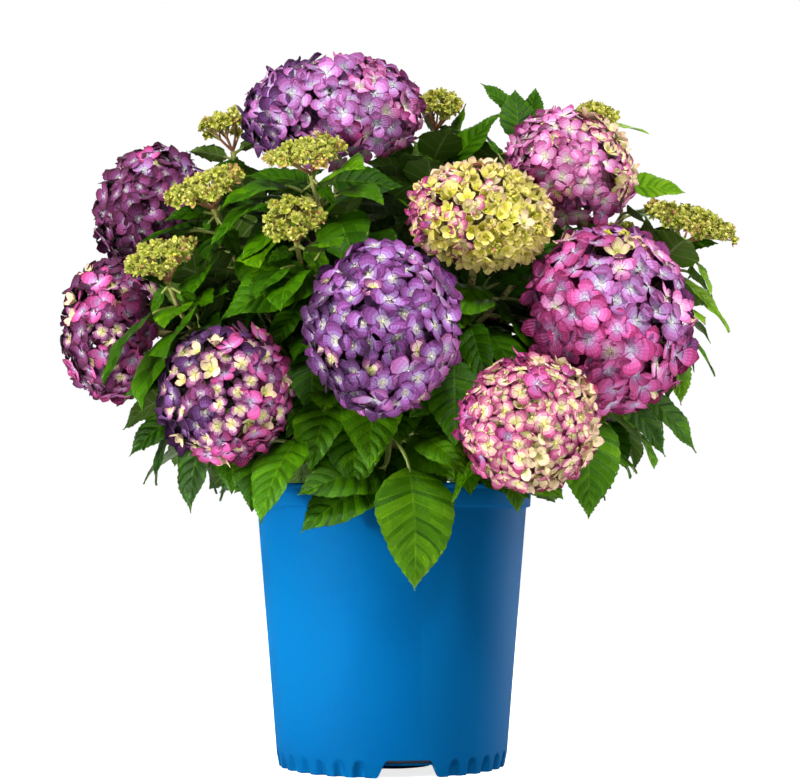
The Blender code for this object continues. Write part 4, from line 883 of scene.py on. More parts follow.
def obstacles_of(branches):
    """Closed stand-ins, each grown by the room kept: canes, stems, heads, bud clusters, the pot and its mix."""
    found = []
    for row in SHOOTS:
        name, centre, facing, wide, high, deep, _, _, bare = row
        cane = stretch(shoot_path(row)[2], 0, bare, CANE_RINGS)
        found.append(stand_in(None, plain_limb(cane, CANE_R + CLEAR, CANE_TIP_R + CLEAR)))
        for branch, points in branches[name].items():
            radius = (STEM_R if branch == "stem" else SIDE_R) + CLEAR
            found.append(stand_in(name, plain_limb(points, radius, radius)))
        radii = np.array([wide, high, deep]) * 1.03 + CLEAR
        found.append(stand_in(None, globe(10, 14, radii, vec(centre), head_axes(facing))))
        neck = np.array([vec(centre) - unit(facing) * (deep + HEAD_NECK), vec(centre)])
        found.append(stand_in(None, plain_limb(neck, STEM_R + CLEAR, STEM_R + CLEAR)))
    for _, _, _, centre, facing, wide, high in BUDS:
        profile = bud_profile(wide * 1.03, high * 1.03)
        profile = [(r and r + CLEAR, z + math.copysign(CLEAR, z)) for r, z in profile]
        points, faces = turned_solid(profile, 12)
        found.append(stand_in(None, (vec(centre) + points @ head_axes(facing), faces)))
    mix_top = SOIL_TOP + 0.006
    soil = [(0.0, 0.1), (0.108, 0.1), (0.108, mix_top), (0.0, mix_top)]
    found.append(stand_in(None, turned_solid(pot_profile(CLEAR), POT_SIDES)))
    found.append(stand_in(None, turned_solid(soil, 24)))
    return found


def touches(tree, low, high, others, skip=None):
    """Whether a shape meets any of the others, those owned by skip left out."""
    for owner, other, other_low, other_high in others:
        if owner is not None and owner == skip:
            continue
        if (low > other_high).any() or (high < other_low).any():
            continue
        if tree.overlap(other):
            return True
    return False


def leaf_fits(leaf, fixed, leaves, shown=False):
    """Whether a leaf keeps clear of every limb, head and pot, and of the leaves already there."""
    _, tree, low, high = stand_in(leaf["shoot"], blade(leaf, CLEAR))
    if touches(tree, low, high, fixed, leaf["shoot"]) or touches(tree, low, high, leaves, leaf["shoot"]):
        return False
    if shown:
        return True
    points = blade(leaf, CLEAR)[0]
    beyond = np.linalg.norm((points - vec(CROWN_AT)) / vec(CROWN_REACH), axis=1) > 1.0
    if beyond.any() or low[2] < CROWN_FOOT:
        return False
    tree = search_tree(blade(leaf, CLEAR / 2, with_stalk=False))
    return not touches(tree, low, high, leaves)


def rule_leaf(shoot, points, share, spin, size, rng):
    """A leaf of a pair: its stalk leaves the branch sideways and ahead, its blade reaches out and droops."""
    root, ahead = along(points, share)
    side, up = side_and_up(ahead)
    a = spin + math.radians(rng.uniform(-22, 22))
    out = side * math.cos(a) + up * math.sin(a)
    from_axis = root * vec(1, 1, 0)
    outward = unit(from_axis + vec(1e-6, 0, 0))
    stalk = unit(out + ahead * rng.uniform(0.35, 0.8) + outward * 0.25)
    base = root + stalk * rng.uniform(0.016, 0.032)
    lead = unit(stalk + outward * rng.uniform(0.1, 0.6) + vec(0, 0, rng.uniform(-0.85, 0.10)))
    face = vec(0, 0, 1) + outward * rng.uniform(0.3, 1.2) + out * rng.uniform(-0.2, 0.2)
    long = size * rng.uniform(0.72, 1.08)
    wide = long * LEAF_ASPECT * rng.uniform(0.90, 1.08)
    return make_leaf(shoot, root, base, lead, face, long, wide, math.radians(rng.uniform(18, 58)), LEAF_FOLD)


def keep(leaf, grown, taken):
    """Puts a leaf with those that are grown, and its plain solid with the room that is taken."""
    grown.append(leaf)
    taken.append(stand_in(leaf["shoot"], blade(leaf)))


def grow_leaves(branches, fixed):
    """The shown leaves, then pairs along every branch from its end back, each where it touches nothing: the
    leaves and the room that they take."""
    rng = random.Random(SEED)
    grown, taken = [], []
    for row in SHOWN_LEAVES:
        for attempt in range(SHOWN_TRIES):
            leaf = shown_leaf(row, branches, attempt / SHOWN_TRIES, rng)
            if leaf_fits(leaf, fixed, taken, shown=True):
                keep(leaf, grown, taken)
                break
    spots = []
    bud_names = [row[0] for row in BUDS]
    for shoot, own in branches.items():
        for branch, points in own.items():
            long = arc_lengths(points)[-1]
            size, first = BUD_LEAF if branch in bud_names else TWIG_LEAF, SIDE_FIRST
            if branch == "stem":
                size, first = STEM_LEAF, STEM_FIRST
            for k in range(int((long - first - END_ROOM) / PAIR_STEP) + 1):
                spots.append((k, shoot, points, 1 - (first + k * PAIR_STEP) / long, size))
    for k, shoot, points, share, size in sorted(spots, key=lambda spot: spot[0]):
        spin = rng.uniform(-0.5, 0.5) + k * math.pi / 2
        for side in (0, math.pi):
            if sum(leaf["shoot"] == shoot for leaf in grown) >= MOST_LEAVES:
                break
            for attempt in range(TRIES):
                leaf = rule_leaf(shoot, points, share, spin + side, size * (1 - 0.018 * attempt), rng)
                if leaf_fits(leaf, fixed, taken):
                    keep(leaf, grown, taken)
                    break
    return grown, taken


net_of_veins, given, out = node_group("net_of_veins", [("Scale", 300.0)], ["Height"])
place, cells, dome = add_nodes(net_of_veins, "TexCoord", "TexVoronoi", "MapRange")
cells.feature = "DISTANCE_TO_EDGE"
dome.interpolation_type = "SMOOTHSTEP"
dome.inputs["From Max"].default_value = 0.22
join(
    net_of_veins, (place, "Object", cells, "Vector"), (given, "Scale", cells, "Scale"),
    (cells, "Distance", dome, "Value"), (dome, "Result", out, "Height"),
)


def press_in(material, pattern, value, strength, depth):
    """Adds a node group's Height, with its one input at value, to a surface as a bump under the bump it has."""
    tree = material.node_tree
    group, bump = add_nodes(tree, "Group", "Bump")
    group.node_tree = pattern
    group.inputs[0].default_value = value
    bump.inputs["Strength"].default_value, bump.inputs["Distance"].default_value = strength, depth
    join(tree, (group, "Height", bump, "Height"), (bump, "Normal", tree.nodes["Bump"], "Normal"))
    return material


def leaf_finish(name, rgb, gloss):
    """A leaf's surface: one colour, with the net of its finest veins sunk 0.3 mm between cells 2.5 mm wide."""
    made = finish(name, rgb, (0.32, 0.46), 260.0, 0.0004, 0.35, gloss)
    return press_in(made, net_of_veins, 400.0, 0.55, 0.0003)


LEAF_TONES = ((14, 36, 0), (26, 58, 0), (42, 84, 0), (62, 108, 0), (90, 136, 4), (124, 160, 30))
LEAF_STEPS = 16  # from painted shade for the heart of the shrub to painted light for its outermost leaves
VEIN_TONE, VEIN_SHARE = (160, 200, 50), 0.17


def tone_between(tones, share):
    """The colour at a share of the way along a row of colours."""
    at = share * (len(tones) - 1)
    low = min(int(at), len(tones) - 2)
    return [a + (b - a) * (at - low) for a, b in zip(*tones[low : low + 2])]


leaf_looks = []
for number in range(LEAF_STEPS):
    tone = tone_between(LEAF_TONES, number / (LEAF_STEPS - 1))
    vein = [(1 - VEIN_SHARE) * part + VEIN_SHARE * pale for part, pale in zip(tone, VEIN_TONE)]
    leaf_looks.append(leaf_finish(f"leaf_blade_{number}", tone, 0.10))
    leaf_looks.append(leaf_finish(f"leaf_vein_{number}", vein, 0.10))
UNDER, STALK = len(leaf_looks), len(leaf_looks) + 2  # the underside's veins come between them
leaf_looks.append(leaf_finish("leaf_underside", (92, 126, 44), 0.15))
leaf_looks.append(finish("leaf_under_vein", (146, 164, 104), (0.6, 0.75), 420.0, 0.0002, 0.3, 0.2))
leaf_looks.append(finish("leaf_stalk", (142, 156, 76), (0.45, 0.6), 500.0, 0.0002, 0.3, 0.3))


def leaf_outline(share):
    """Half width of a leaf over its greatest: (s/m)^a ((1-s)/(1-m))^b, with its peak 1 at m = a / (a + b)."""
    a, b = 0.70, 1.25
    m = a / (a + b)
    return (share / m) ** a * (np.clip(1 - share, 0, 1) / (1 - m)) ** b


def leaf_surface(leaf, rows, columns, veins, lift, spread=1.0, tooth=0.0):
    """Points of one leaf on a grid of rows (where a side vein leaves the midrib) and columns (-1 to 1 across).
    Along a row the share of the length is s + 0.8 s (1 - s) |c|, so rows run forwards as side veins do. The
    midrib is an arc that turns down by the droop; the halves fold up, ease off towards the margin, swell
    between the veins by a sine and wave a little at the margin, where every other row is drawn into a tooth."""
    s, c = rows[:, None], columns[None, :]
    share = np.clip(s + 0.8 * s * (1 - s) * np.abs(c), 0, 1)
    long, half = leaf["long"], leaf["wide"] / 2 * spread
    turn = max(leaf["droop"], 1e-3)
    angle = (turn * share)[..., None]
    d, n = leaf["ahead"], leaf["face"]
    w = np.cross(d, n)
    face = d * np.sin(angle) + n * np.cos(angle)
    spine = leaf["base"] + long / turn * (d * np.sin(angle) - n * (1 - np.cos(angle)))
    width = leaf_outline(share) * half
    reach = c * width
    edge = np.abs(c) > 0.999
    reach = reach + np.sign(c) * edge * (tooth * veins["tooth"][:, None]) * np.minimum(1, width / 0.004)
    swell = veins["swell"][:, None] * np.sin(math.pi * np.clip(np.abs(c), 0, 1) ** 0.85) * 0.026 * long
    swell = swell * np.minimum(1, width / 0.010)
    wave = 0.020 * long * np.sin(2 * math.pi * 2.1 * share + leaf["phase"] + np.sign(c)) * np.abs(c) ** 3
    rise = leaf["fold"] * np.abs(reach) * (1 - 0.5 * c**2) + swell + wave + lift * (1 - np.abs(c) ** 4)
    groove = -0.0003 * (np.abs(c) < 0.05)
    return spine + w * reach[..., None] + face * (rise + groove)[..., None]


def leaf_rows(count, fine):
    """Rows of a leaf with count side veins: two for each vein and, between it and the next, two or in a small
    leaf one, with the swell between veins (0 on a vein, 1 between), the teeth (1 where the margin is drawn out)
    and the painted quilt shade: painted shade in the trough ahead of a vein and painted light on the swell
    behind the next."""
    at, swell, tooth, on_vein, painted_quilt_shade = [0.004, 0.035], [0.0, 0.5], [0.0, 0.0], [0, 0], [0.0, 0.0]
    step = 0.86 / count
    for k in range(count):
        vein = 0.065 + step * k
        at += [vein - 0.0055, vein + 0.0055]
        at += [vein + step * 0.36, vein + step * 0.68] if fine else [vein + step * 0.5]
        swell += [0.0, 0.0, 0.9, 0.8] if fine else [0.0, 0.0, 1.0]
        tooth += [0.3, 1.0, 0.0, 1.0] if fine else [0.0, 1.0, 0.2]
        on_vein += [1, 0, 0, 0] if fine else [1, 0, 0]
        painted_quilt_shade += [0.0, -1.1, 0.2, 1.0] if fine else [0.0, -0.7, 0.7]
    at += [0.965, 0.985, 1.0]
    swell += [0.3, 0.1, 0.0]
    tooth += [0.0, 0.0, 0.0]
    on_vein += [0, 0, 0]
    painted_quilt_shade += [0.5, 0.8, 0.8]
    kept = dict(swell=swell, tooth=tooth, strip=on_vein, painted_quilt_shade=painted_quilt_shade)
    return np.array(at), {name: np.array(values) for name, values in kept.items()}


TOP_COLUMNS = np.array([-1, -0.93, -0.70, -0.36, -0.035, 0.035, 0.36, 0.70, 0.93, 1])
FEW_COLUMNS = np.array([-1, -0.85, -0.45, -0.04, 0.04, 0.45, 0.85, 1])
UNDER_COLUMNS = np.array([-1, -0.6, -0.05, 0.05, 0.6, 1])


def leaf_parts(leaf, tone, vein_count, rng, fine):
    """A leaf's upper side, its paler underside 0.6 mm below, and its stalk. The tone steps up towards the
    margin and the tip, from panel to panel between veins, and by a light spray from face to face."""
    rows, veins = leaf_rows(vein_count, fine)
    columns = TOP_COLUMNS if fine else FEW_COLUMNS
    top = leaf_surface(leaf, rows, columns, veins, 0.0, 1.0, 0.0014)
    faces = sheet_faces(len(rows), len(columns))
    strip = np.repeat(veins["strip"][:-1], len(columns) - 1).reshape(len(rows) - 1, -1)
    middle = np.abs((columns[:-1] + columns[1:]) / 2)
    strip = (strip * (middle < 0.94)[None]) | (middle < 0.03)[None]
    panel = np.repeat(rng.normal(0, 0.75, (len(rows) // 4 + 1, 2)), 4, axis=0)[: len(rows) - 1]
    panel = np.where(np.arange(len(columns) - 1)[None] < len(columns) // 2, panel[:, :1], panel[:, 1:])
    lighter = 1.3 * np.abs(middle)[None] ** 2 - 0.9 * (rows[:-1, None] < 0.2) + 0.6 * (rows[:-1, None] > 0.75)
    # painted quilt shade from the rows: darker in each trough, lighter on each swell
    spray = tone + panel + lighter + veins["painted_quilt_shade"][:-1, None] + rng.normal(0, 0.45, strip.shape)
    looks = (2 * np.clip(np.rint(spray), 0, LEAF_STEPS - 1) + strip).ravel().astype(int)
    step = 4 if fine else 3
    keep = np.sort([0, *np.arange(2, len(rows) - 3, step), *np.arange(3, len(rows) - 3, step), len(rows) - 1])
    some = {k: v[keep] for k, v in veins.items()}
    low = leaf_surface(leaf, rows[keep], UNDER_COLUMNS, {**some, "swell": some["swell"] * 0}, -0.0006, 0.985)
    low_faces = sheet_faces(len(keep), len(UNDER_COLUMNS))[:, ::-1]
    under = np.repeat(some["strip"][:-1], len(UNDER_COLUMNS) - 1).reshape(len(keep) - 1, -1)
    under = under | (np.abs((UNDER_COLUMNS[:-1] + UNDER_COLUMNS[1:]) / 2) < 0.04)[None]
    base, root, d = leaf["base"], leaf["root"], leaf["ahead"]
    span = np.linalg.norm(base - root)
    sag = bezier(root, root + unit(base - root) * 0.45 * span, base - d * 0.35 * span, base + d * 0.004, 9)
    stalk = limb(sag, np.linspace(0.0017, 0.0011, 9), 7, 0.03, seed=1)
    return [
        (top, faces[:, ::-1], looks),
        (low, low_faces[:, ::-1], UNDER + under.ravel().astype(int)),
        *capped(stalk, STALK)[:1],
    ]


def fill_in(branches, fixed, grown, taken):
    """More leaves by the same rule, wherever the pairs leave room, until a shoot holds MOST_FILLED."""
    rng = random.Random(SEED + 3)
    held = {row[0]: sum(leaf["shoot"] == row[0] for leaf in grown) for row in SHOOTS}
    for shoot, own in branches.items():
        for points in own.values():
            long = arc_lengths(points)[-1]
            for k in range(int(long / FILL_STEP)):
                share = 1 - (0.010 + k * FILL_STEP) / long
                for attempt in range(FILL_TRIES):
                    if held[shoot] >= MOST_FILLED or share <= 0.04:
                        break
                    spin, size = rng.uniform(0, 6.28), FILL_LEAF * (1 - 0.07 * attempt)
                    leaf = rule_leaf(shoot, points, share, spin, size, rng)
                    if leaf["base"][2] < 0.33:  # low ones turn their faces out to the light
                        face = leaf["face"] + vec(0, -1.5 if leaf["base"][1] < 0.06 else 1.5, 0)
                        leaf["face"] = unit(face - leaf["ahead"] * (leaf["ahead"] @ face))
                    if leaf_fits(leaf, fixed, taken):
                        keep(leaf, grown, taken)
                        held[shoot] += 1
                        break


shoots = all_branches()
kept_clear = obstacles_of(shoots)
leaf_list, room_taken = grow_leaves(shoots, kept_clear)
paired = len(leaf_list)
fill_in(shoots, kept_clear, leaf_list, room_taken)
rng = random.Random(SEED + 7)
for number, leaf in enumerate(leaf_list):
    # a leaf's tone, painted light and shade, steps up from the heart outwards and towards the front, the +X
    # side, the top and the rim, and steps down for low leaves, the most for low ones on the left; a random step
    # is added
    base, tip = leaf["base"], leaf["base"] + leaf["ahead"] * leaf["long"]
    leaf["fine"] = number < paired
    leaf["phase"] = rng.uniform(0, 6.28)
    out = np.linalg.norm((base - vec(CROWN_AT)) / vec(CROWN_REACH))
    over_rim = tip[1] < -0.10 and tip[2] < 0.215 and abs(tip[0] - 0.02) < 0.06
    painted_light = 3.0 * np.clip((base[0] - 0.16) / 0.06, 0, 1) + 4.4 * over_rim
    painted_light += 0.9 * (tip[2] > 0.38) - 0.8 * (tip[2] < 0.27) - 1.4 * (tip[0] < -0.06 and tip[2] < 0.235)
    leaf["tone"] = 1.2 + 5.6 * out + 1.9 * (base[1] < -0.05) + 1.8 * base[0] / 0.27 + painted_light
    leaf["tone"] += rng.uniform(-2.6, 3.0)
    leaf["spray"] = np.random.default_rng(rng.randrange(10**6))
for row in SHOOTS:
    parts = []
    for leaf in leaf_list:
        if leaf["shoot"] == row[0]:
            count = (8 if leaf["long"] > 0.078 else 7) if leaf["fine"] else 5
            parts += leaf_parts(leaf, leaf["tone"], count, leaf["spray"], leaf["fine"])
    leaves = piece("leaves_" + row[0], parts, leaf_looks)
    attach(leaves, "root")
    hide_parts("foliage_" + row[0])


# --- Flower heads ------------------------------------------------------------------------------------------
# Each mophead is a shell of four-sepalled florets on thin pedicels, over a second, sparser shell, all carried
# by rays that fork from the end of the stem. A floret is dealt its tints by where it sits on the head.
PALETTES = {  # a sepal's tints from the eye out to the rim, the last the rim's own colour darkened as painted shade along the edge
    "mauve": ((228, 232, 224), (200, 184, 222), (194, 144, 204), (190, 118, 186), (148, 72, 134)),
    "violet": ((242, 240, 206), (194, 180, 222), (166, 120, 188), (156, 88, 164), (110, 46, 110)),
    "magenta": ((218, 214, 232), (202, 144, 202), (212, 112, 180), (212, 92, 162), (160, 46, 104)),
    # the next two are violet and magenta darkened as painted shade, for the heads' shaded sides
    "violet_in_shade": ((212, 208, 184), (144, 122, 172), (108, 64, 122), (94, 44, 102), (58, 20, 60)),
    "plum": ((206, 200, 194), (144, 96, 148), (124, 60, 112), (118, 48, 96), (80, 26, 56)),
    "rose": ((226, 224, 130), (246, 236, 180), (246, 218, 190), (224, 138, 170), (172, 58, 112)),
    "dawn": ((224, 218, 130), (240, 232, 172), (220, 190, 184), (166, 100, 146), (108, 44, 92)),
    "cream": ((214, 212, 100), (242, 236, 156), (252, 242, 186), (250, 234, 188), (242, 202, 180)),
    "young": ((216, 214, 60), (242, 238, 88), (253, 247, 118), (255, 248, 146), (252, 228, 156)),
    "calyx": ((146, 160, 34), (196, 204, 66), (218, 224, 92), (226, 230, 110), (230, 216, 122)),
    "blush": ((146, 158, 36), (200, 202, 72), (222, 214, 102), (226, 180, 114), (208, 122, 100)),
    "lilac": ((246, 246, 206), (234, 208, 220), (230, 168, 212), (226, 138, 198), (182, 78, 138)),
}
fan_of_ribs, given, out = node_group("fan_of_ribs", [("Ribs", 20.0)], ["Height"])
place, split, many, wave = add_nodes(fan_of_ribs, "UVMap", "SeparateXYZ", "Math", "Math")
place.uv_map, many.operation, wave.operation = "ribs", "MULTIPLY", "COSINE"
join(
    fan_of_ribs, (place, "UV", split, "Vector"), (split, "X", many, 0), (given, "Ribs", many, 1),
    (many, "Value", wave, 0), (wave, "Value", out, "Height"),
)


def sepal_finish(name, rgb):
    """A sepal's surface: one tint, soft to the light, with fine ribs that fan out from the eye."""
    made = finish(name, rgb, (0.5, 0.66), 900.0, 0.0002, 0.25, 0.12, 0.08)
    return press_in(made, fan_of_ribs, 19.0, 0.7, 0.00022)


STEPS = 8
# Painted shade for the sepals: two shades dealt at random to the outer florets, the second a little darker,
# and a much darker one for the sparser shell inside, where shade falls: a factor, then a power that deepens it
PAINTED_SHADES = ((1.0, 1.0), (0.89, 1.10), (0.66, 1.22))
FAMILIES = list(PALETTES)
floret_looks = []
for family in FAMILIES:
    for painted_shade, power in PAINTED_SHADES:
        for step in range(STEPS):
            tone = tone_between(PALETTES[family], step / (STEPS - 1))
            tone = [255 * (painted_shade * part / 255) ** power for part in tone]
            floret_looks.append(sepal_finish(f"sepal_{family}_{step}_{int(painted_shade * 100)}", tone))
PEDICEL, RAY, BEAD = len(floret_looks), len(floret_looks) + 1, len(floret_looks) + 2
floret_looks.append(finish("pedicel", (150, 128, 96), (0.5, 0.65), 900.0, 0.0001, 0.2, 0.2))
floret_looks.append(finish("head_ray", (136, 124, 72), (0.5, 0.65), 900.0, 0.0002, 0.3, 0.2))
for tone in ((212, 206, 80), (190, 190, 64), (146, 152, 46), (236, 226, 132), (210, 140, 122)):
    floret_looks.append(finish("bead_%d_%d_%d" % tone, tone, (0.4, 0.55), 900.0, 0.0001, 0.2, 0.3))

# Length of a sepal, share of young florets that are still cupped, how closely they stand, and the families:
# name, weight, and how far the weight leans towards +X, +Y and +Z over the head; the two families darkened as
# painted shade lean mostly towards -X
HEADS = {
    "top": (0.0142, 0.10, 1.20, (
        ("mauve", 0.9, (0.3, -0.3, 0)), ("lilac", 0.20, (0.9, 0, 0.1)), ("violet_in_shade", 0.0, (-1.1, 0, -0.1)),
        ("dawn", 0.05, (0, 0, 0.05)), ("magenta", 0.02, (0.3, 0, -0.2)))),
    "left_high": (0.0125, 0.10, 1.08, (
        ("plum", 0.9, (-0.2, 0, -0.1)), ("magenta", 0.10, (0.2, 0, 0.3)), ("mauve", 0.10, (0.3, 0, 0)),
        ("dawn", 0.04, (0, 0, 0)))),
    "left_low": (0.0125, 0.20, 1.12, (
        ("plum", 0.6, (-0.3, 0, 0.2)), ("magenta", 0.35, (0.2, 0, -0.1)), ("dawn", 0.28, (0.1, -0.1, 0.1)),
        ("cream", 0.05, (0, 0, 0.1)))),
    "front_left": (0.0125, 0.20, 1.20, (
        ("violet_in_shade", 0.36, (-0.8, 0, 0.4)), ("plum", 0.12, (0, 0, 0)), ("magenta", 0.38, (0.8, 0, -0.3)),
        ("dawn", 0.36, (-0.1, -0.4, 0)), ("cream", 0.05, (0, -0.1, 0)))),
    "front": (0.0142, 0.10, 1.08, (
        ("violet", 0.8, (0, 0, 0)), ("mauve", 0.16, (0.9, 0, -0.4)), ("violet_in_shade", 0.06, (-1.3, 0, -0.6)),
        ("dawn", 0.24, (-0.4, 0, -0.2)))),
    "inner_right": (0.0100, 0.80, 1.60, (
        ("young", 1.0, (0.4, 0, 0)), ("cream", 0.40, (0, 0, 0.2)), ("rose", 0.16, (-0.5, 0, 0.2)),
        ("magenta", -0.12, (-0.6, 0, 0.1)))),
    "right_high": (0.0125, 0.25, 1.32, (
        ("lilac", 0.6, (-0.6, 0, -0.3)), ("rose", 0.28, (0.4, 0, 0.2)), ("magenta", 0.05, (-0.4, 0, -0.5)),
        ("cream", 0.12, (0.3, 0, 0.1)))),
    "right": (0.0160, 0.05, 1.08, (
        ("magenta", 0.7, (-0.5, 0, -0.5)), ("mauve", 0.16, (0.5, 0, 0.4)), ("lilac", 0.30, (0.3, 0, 0.1)),
        ("cream", 0.03, (0.05, 0, 0.05)))),
    "front_right": (0.0118, 0.75, 1.55, (
        ("rose", 0.8, (-0.1, 0, 0)), ("cream", 0.22, (0.4, 0, 0)), ("magenta", 0.0, (-0.5, 0, 0.5)))),
    "back_right_high": (0.0135, 0.10, 1.0, (("magenta", 0.8, (0, 0, 0)), ("mauve", 0.2, (0, 0, 0.3)))),
    "back_left_high": (0.0135, 0.10, 1.0, (("violet", 0.8, (0, 0, 0)), ("mauve", 0.3, (0.2, 0, 0.2)))),
    "back": (0.0135, 0.15, 1.0, (("magenta", 0.6, (-0.3, 0, 0)), ("lilac", 0.4, (0.3, 0, 0)))),
    "back_right": (0.0130, 0.12, 1.0, (("violet", 0.6, (0, 0, 0)), ("mauve", 0.4, (0, 0, 0)))),
    "back_left": (0.0130, 0.20, 1.0, (
        ("lilac", 0.7, (0, 0, 0)), ("rose", 0.2, (0, 0, 0)), ("plum", 0.1, (-0.3, 0, 0)))),
}
BALL_BACK = -0.72  # florets cover the head from its face back to this share of its depth
FORKS, TIPS = 9, 46  # of the rays inside a head
GOLDEN_TURN = math.pi * (3 - math.sqrt(5))
# How far the sepals of closed, open and button florets turn up
CLOSED_CUP, OPEN_CUP, BUTTON_CUP = (0.7, 1.3), (-0.20, 0.42), (-0.45, 0.35)
# Two heads also hold heaps of unopened buds: how many, and the side of the head that they keep to
UNOPENED = {"inner_right": (40, (0.6, -0.3, -0.1)), "right": (8, (0.3, 0, 1))}


def spread_over(count, low, rng):
    """Unit vectors spread evenly over a ball above the level low: a golden-angle spiral, then jittered."""
    k = np.arange(count)
    z = 1 - (k + 0.5) / count * (1 - low)
    turn = k * GOLDEN_TURN + rng.uniform(0, 6)
    ring = np.sqrt(1 - z**2)
    way = np.stack([ring * np.cos(turn), ring * np.sin(turn), z], 1)
    return units(way + rng.normal(0, 0.32 / math.sqrt(count), way.shape))


def across_and_up(normal):
    """Two unit vectors square to each normal and to each other."""
    a = units(np.cross(np.where(np.abs(normal[:, 2:]) < 0.9, [[0.0, 0, 1]], [[1.0, 0, 0]]), normal))
    return a, np.cross(normal, a)


def nearest(points, others):
    """The number of the nearest of the others to each point."""
    return np.linalg.norm(points[:, None] - others[None], axis=2).argmin(1)


SEPAL_ROWS = np.array([0, 0.13, 0.30, 0.50, 0.71, 0.89, 1.0])
SEPAL_SPREAD = np.radians([40, 47, 51, 49, 38, 18, 2])
SEPAL_COLUMNS = np.array([-1, -0.87, 0, 0.87, 1])


def floret_parts(centre, normal, size, cup, family, rng, coarse=False, deep=False):
    """Florets of four sepals. A sepal is a fan of arcs: at share v of its length they span the angle +-w(v), so
    its rounded outline narrows to a point. Outwards the surface turns up by the cup c: at share v it has
    run (sin(t + cv) - sin t) / c and risen (cos t - cos(t + cv)) / c; its halves dish by the square of the
    distance from the middle line, and the second pair lies over the first. Coarse florets have fewer faces;
    deep ones, in the shell inside, take the darkest painted shade and only the dark tints near the rim, as
    painted shade inside the head; the others are dealt at random the plain tints or a painted shade a little
    darker."""
    rows, spread, columns = SEPAL_ROWS, SEPAL_SPREAD, SEPAL_COLUMNS
    if coarse:
        rows, spread, columns = rows[[0, 3, 5, 6]], spread[[0, 3, 5, 6]], columns[[0, 2, 4]]
    count = len(centre)
    a, b = across_and_up(normal)
    spin = rng.uniform(0, 6.28, count)
    v, u = rows[None, :, None], columns[None, None, :]
    fan = u * spread[None, :, None]
    middle = ((columns[:-1] + columns[1:]) / 2)[None]
    # the narrow strips along a sepal's edges take tints nearer the rim: the rim's own colour, partly painted
    # shade as a dark outline
    where = (rows[:-1] + rows[1:])[:, None] / 2 + 1.2 * np.maximum(np.abs(middle) - 0.6, 0)
    depth = (where * 1.10 - 0.02).ravel() ** 1.04
    parts = []
    grid = sheet_faces(len(rows), len(columns))
    for pair in range(4):
        turn = (spin + pair * math.pi / 2 + rng.normal(0, 0.09, count))[:, None]
        out, side = a * np.cos(turn) + b * np.sin(turn), b * np.cos(turn) - a * np.sin(turn)
        long, wide = size * rng.uniform(0.88, 1.12, count), rng.uniform(0.88, 1.12, count)[:, None, None]
        c = (cup + rng.normal(0, 0.14, count))[:, None, None]
        c = np.where(np.abs(c) < 0.02, 0.02, c)
        t = (0.10 + 0.25 * np.maximum(cup, 0) + rng.normal(0, 0.09, count))[:, None, None]
        run = (np.sin(t + c * v) - np.sin(t)) / c
        rise = (np.cos(t) - np.cos(t + c * v)) / c + 0.045 * (pair % 2) * np.minimum(v * 5, 1)
        ahead, across = run * np.cos(fan), run * np.sin(fan) * wide
        dish = (rng.normal(-0.30, 0.20, count) + 0.9 * np.clip(cup - 0.2, 0, 1.3))[:, None, None]
        twist = rng.normal(0, 0.16, count)[:, None, None]
        ripple = 0.025 * np.sin(8 * across + spin[:, None, None]) * v
        rise = rise + dish * across**2 + twist * across * v + ripple
        shift = np.stack([ahead, across, rise], -1) * long[:, None, None, None]
        points = centre[:, None, None] + np.einsum("nrck,nkd->nrcd", shift, np.stack([out, side, normal], 1))
        faces = (grid[None] + (np.arange(count) * len(rows) * len(columns))[:, None, None]).reshape(-1, 4)
        zones = (depth[None] + rng.normal(0, 0.018, (count, len(depth)))) * STEPS
        zones = np.clip(zones, 5 if deep else 0, STEPS - 1).astype(int)
        # the darkest painted shade for the shell inside; the plain tints or a slightly darker painted shade at
        # random for the rest
        painted_shade = np.full(count, 2) if deep else rng.integers(0, 2, count)
        looks = ((family * len(PAINTED_SHADES) + painted_shade) * STEPS)[:, None] + zones
        ribs = np.stack(np.broadcast_arrays(columns[None], rows[:, None]), -1).reshape(-1, 2)
        parts.append((points.reshape(-1, 3), faces, looks.ravel(), np.tile(ribs, (count, 1))))
    return parts


BEAD_RINGS = ((0.0, -1.0), (0.86, -0.38), (0.78, 0.45), (0.0, 1.0))


def rings_round(axis, sides):
    """The corners of a ring of radius 1 round each axis."""
    a, b = across_and_up(axis)
    turn = (np.arange(sides) / sides * 2 * math.pi)[None, :, None]
    return a[:, None] * np.cos(turn) + b[:, None] * np.sin(turn)


def bead_parts(centre, axis, radius, longer, looks, sides=5):
    """Small buds, each a closed egg on its axis: rings of (share of the radius, share of the half length)."""
    count = len(centre)
    ring, radius = rings_round(axis, sides), np.broadcast_to(radius, (count,))
    rows = []
    for wide, high in BEAD_RINGS:
        heart = (centre + axis * (high * longer * radius)[:, None])[:, None]
        rows.append(heart + ring * (wide * radius)[:, None, None] if wide else heart)
    points = np.concatenate(rows, 1)
    start = np.arange(count)[:, None, None] * points.shape[1]
    looks = np.broadcast_to(looks, (count,))
    parts = []
    for faces in pole_faces(len(BEAD_RINGS) - 2, sides):
        all_faces = (faces[None] + start).reshape(-1, faces.shape[1])
        parts.append((points.reshape(-1, 3), all_faces, np.repeat(looks, len(faces))))
    return parts


def rods(low, high, thick_low, thick_high, look, sides=3):
    """Straight thin rods, open at both ends, from the points low to the points high."""
    ring = rings_round(units(high - low), sides)
    points = np.stack([low[:, None] + ring * thick_low, high[:, None] + ring * thick_high], 1)
    faces = sheet_faces(2, sides, closed=True)
    start = (np.arange(len(low)) * 2 * sides)[:, None, None]
    return [(points.reshape(-1, 3), (faces[None] + start).reshape(-1, 4)[:, ::-1], look)]


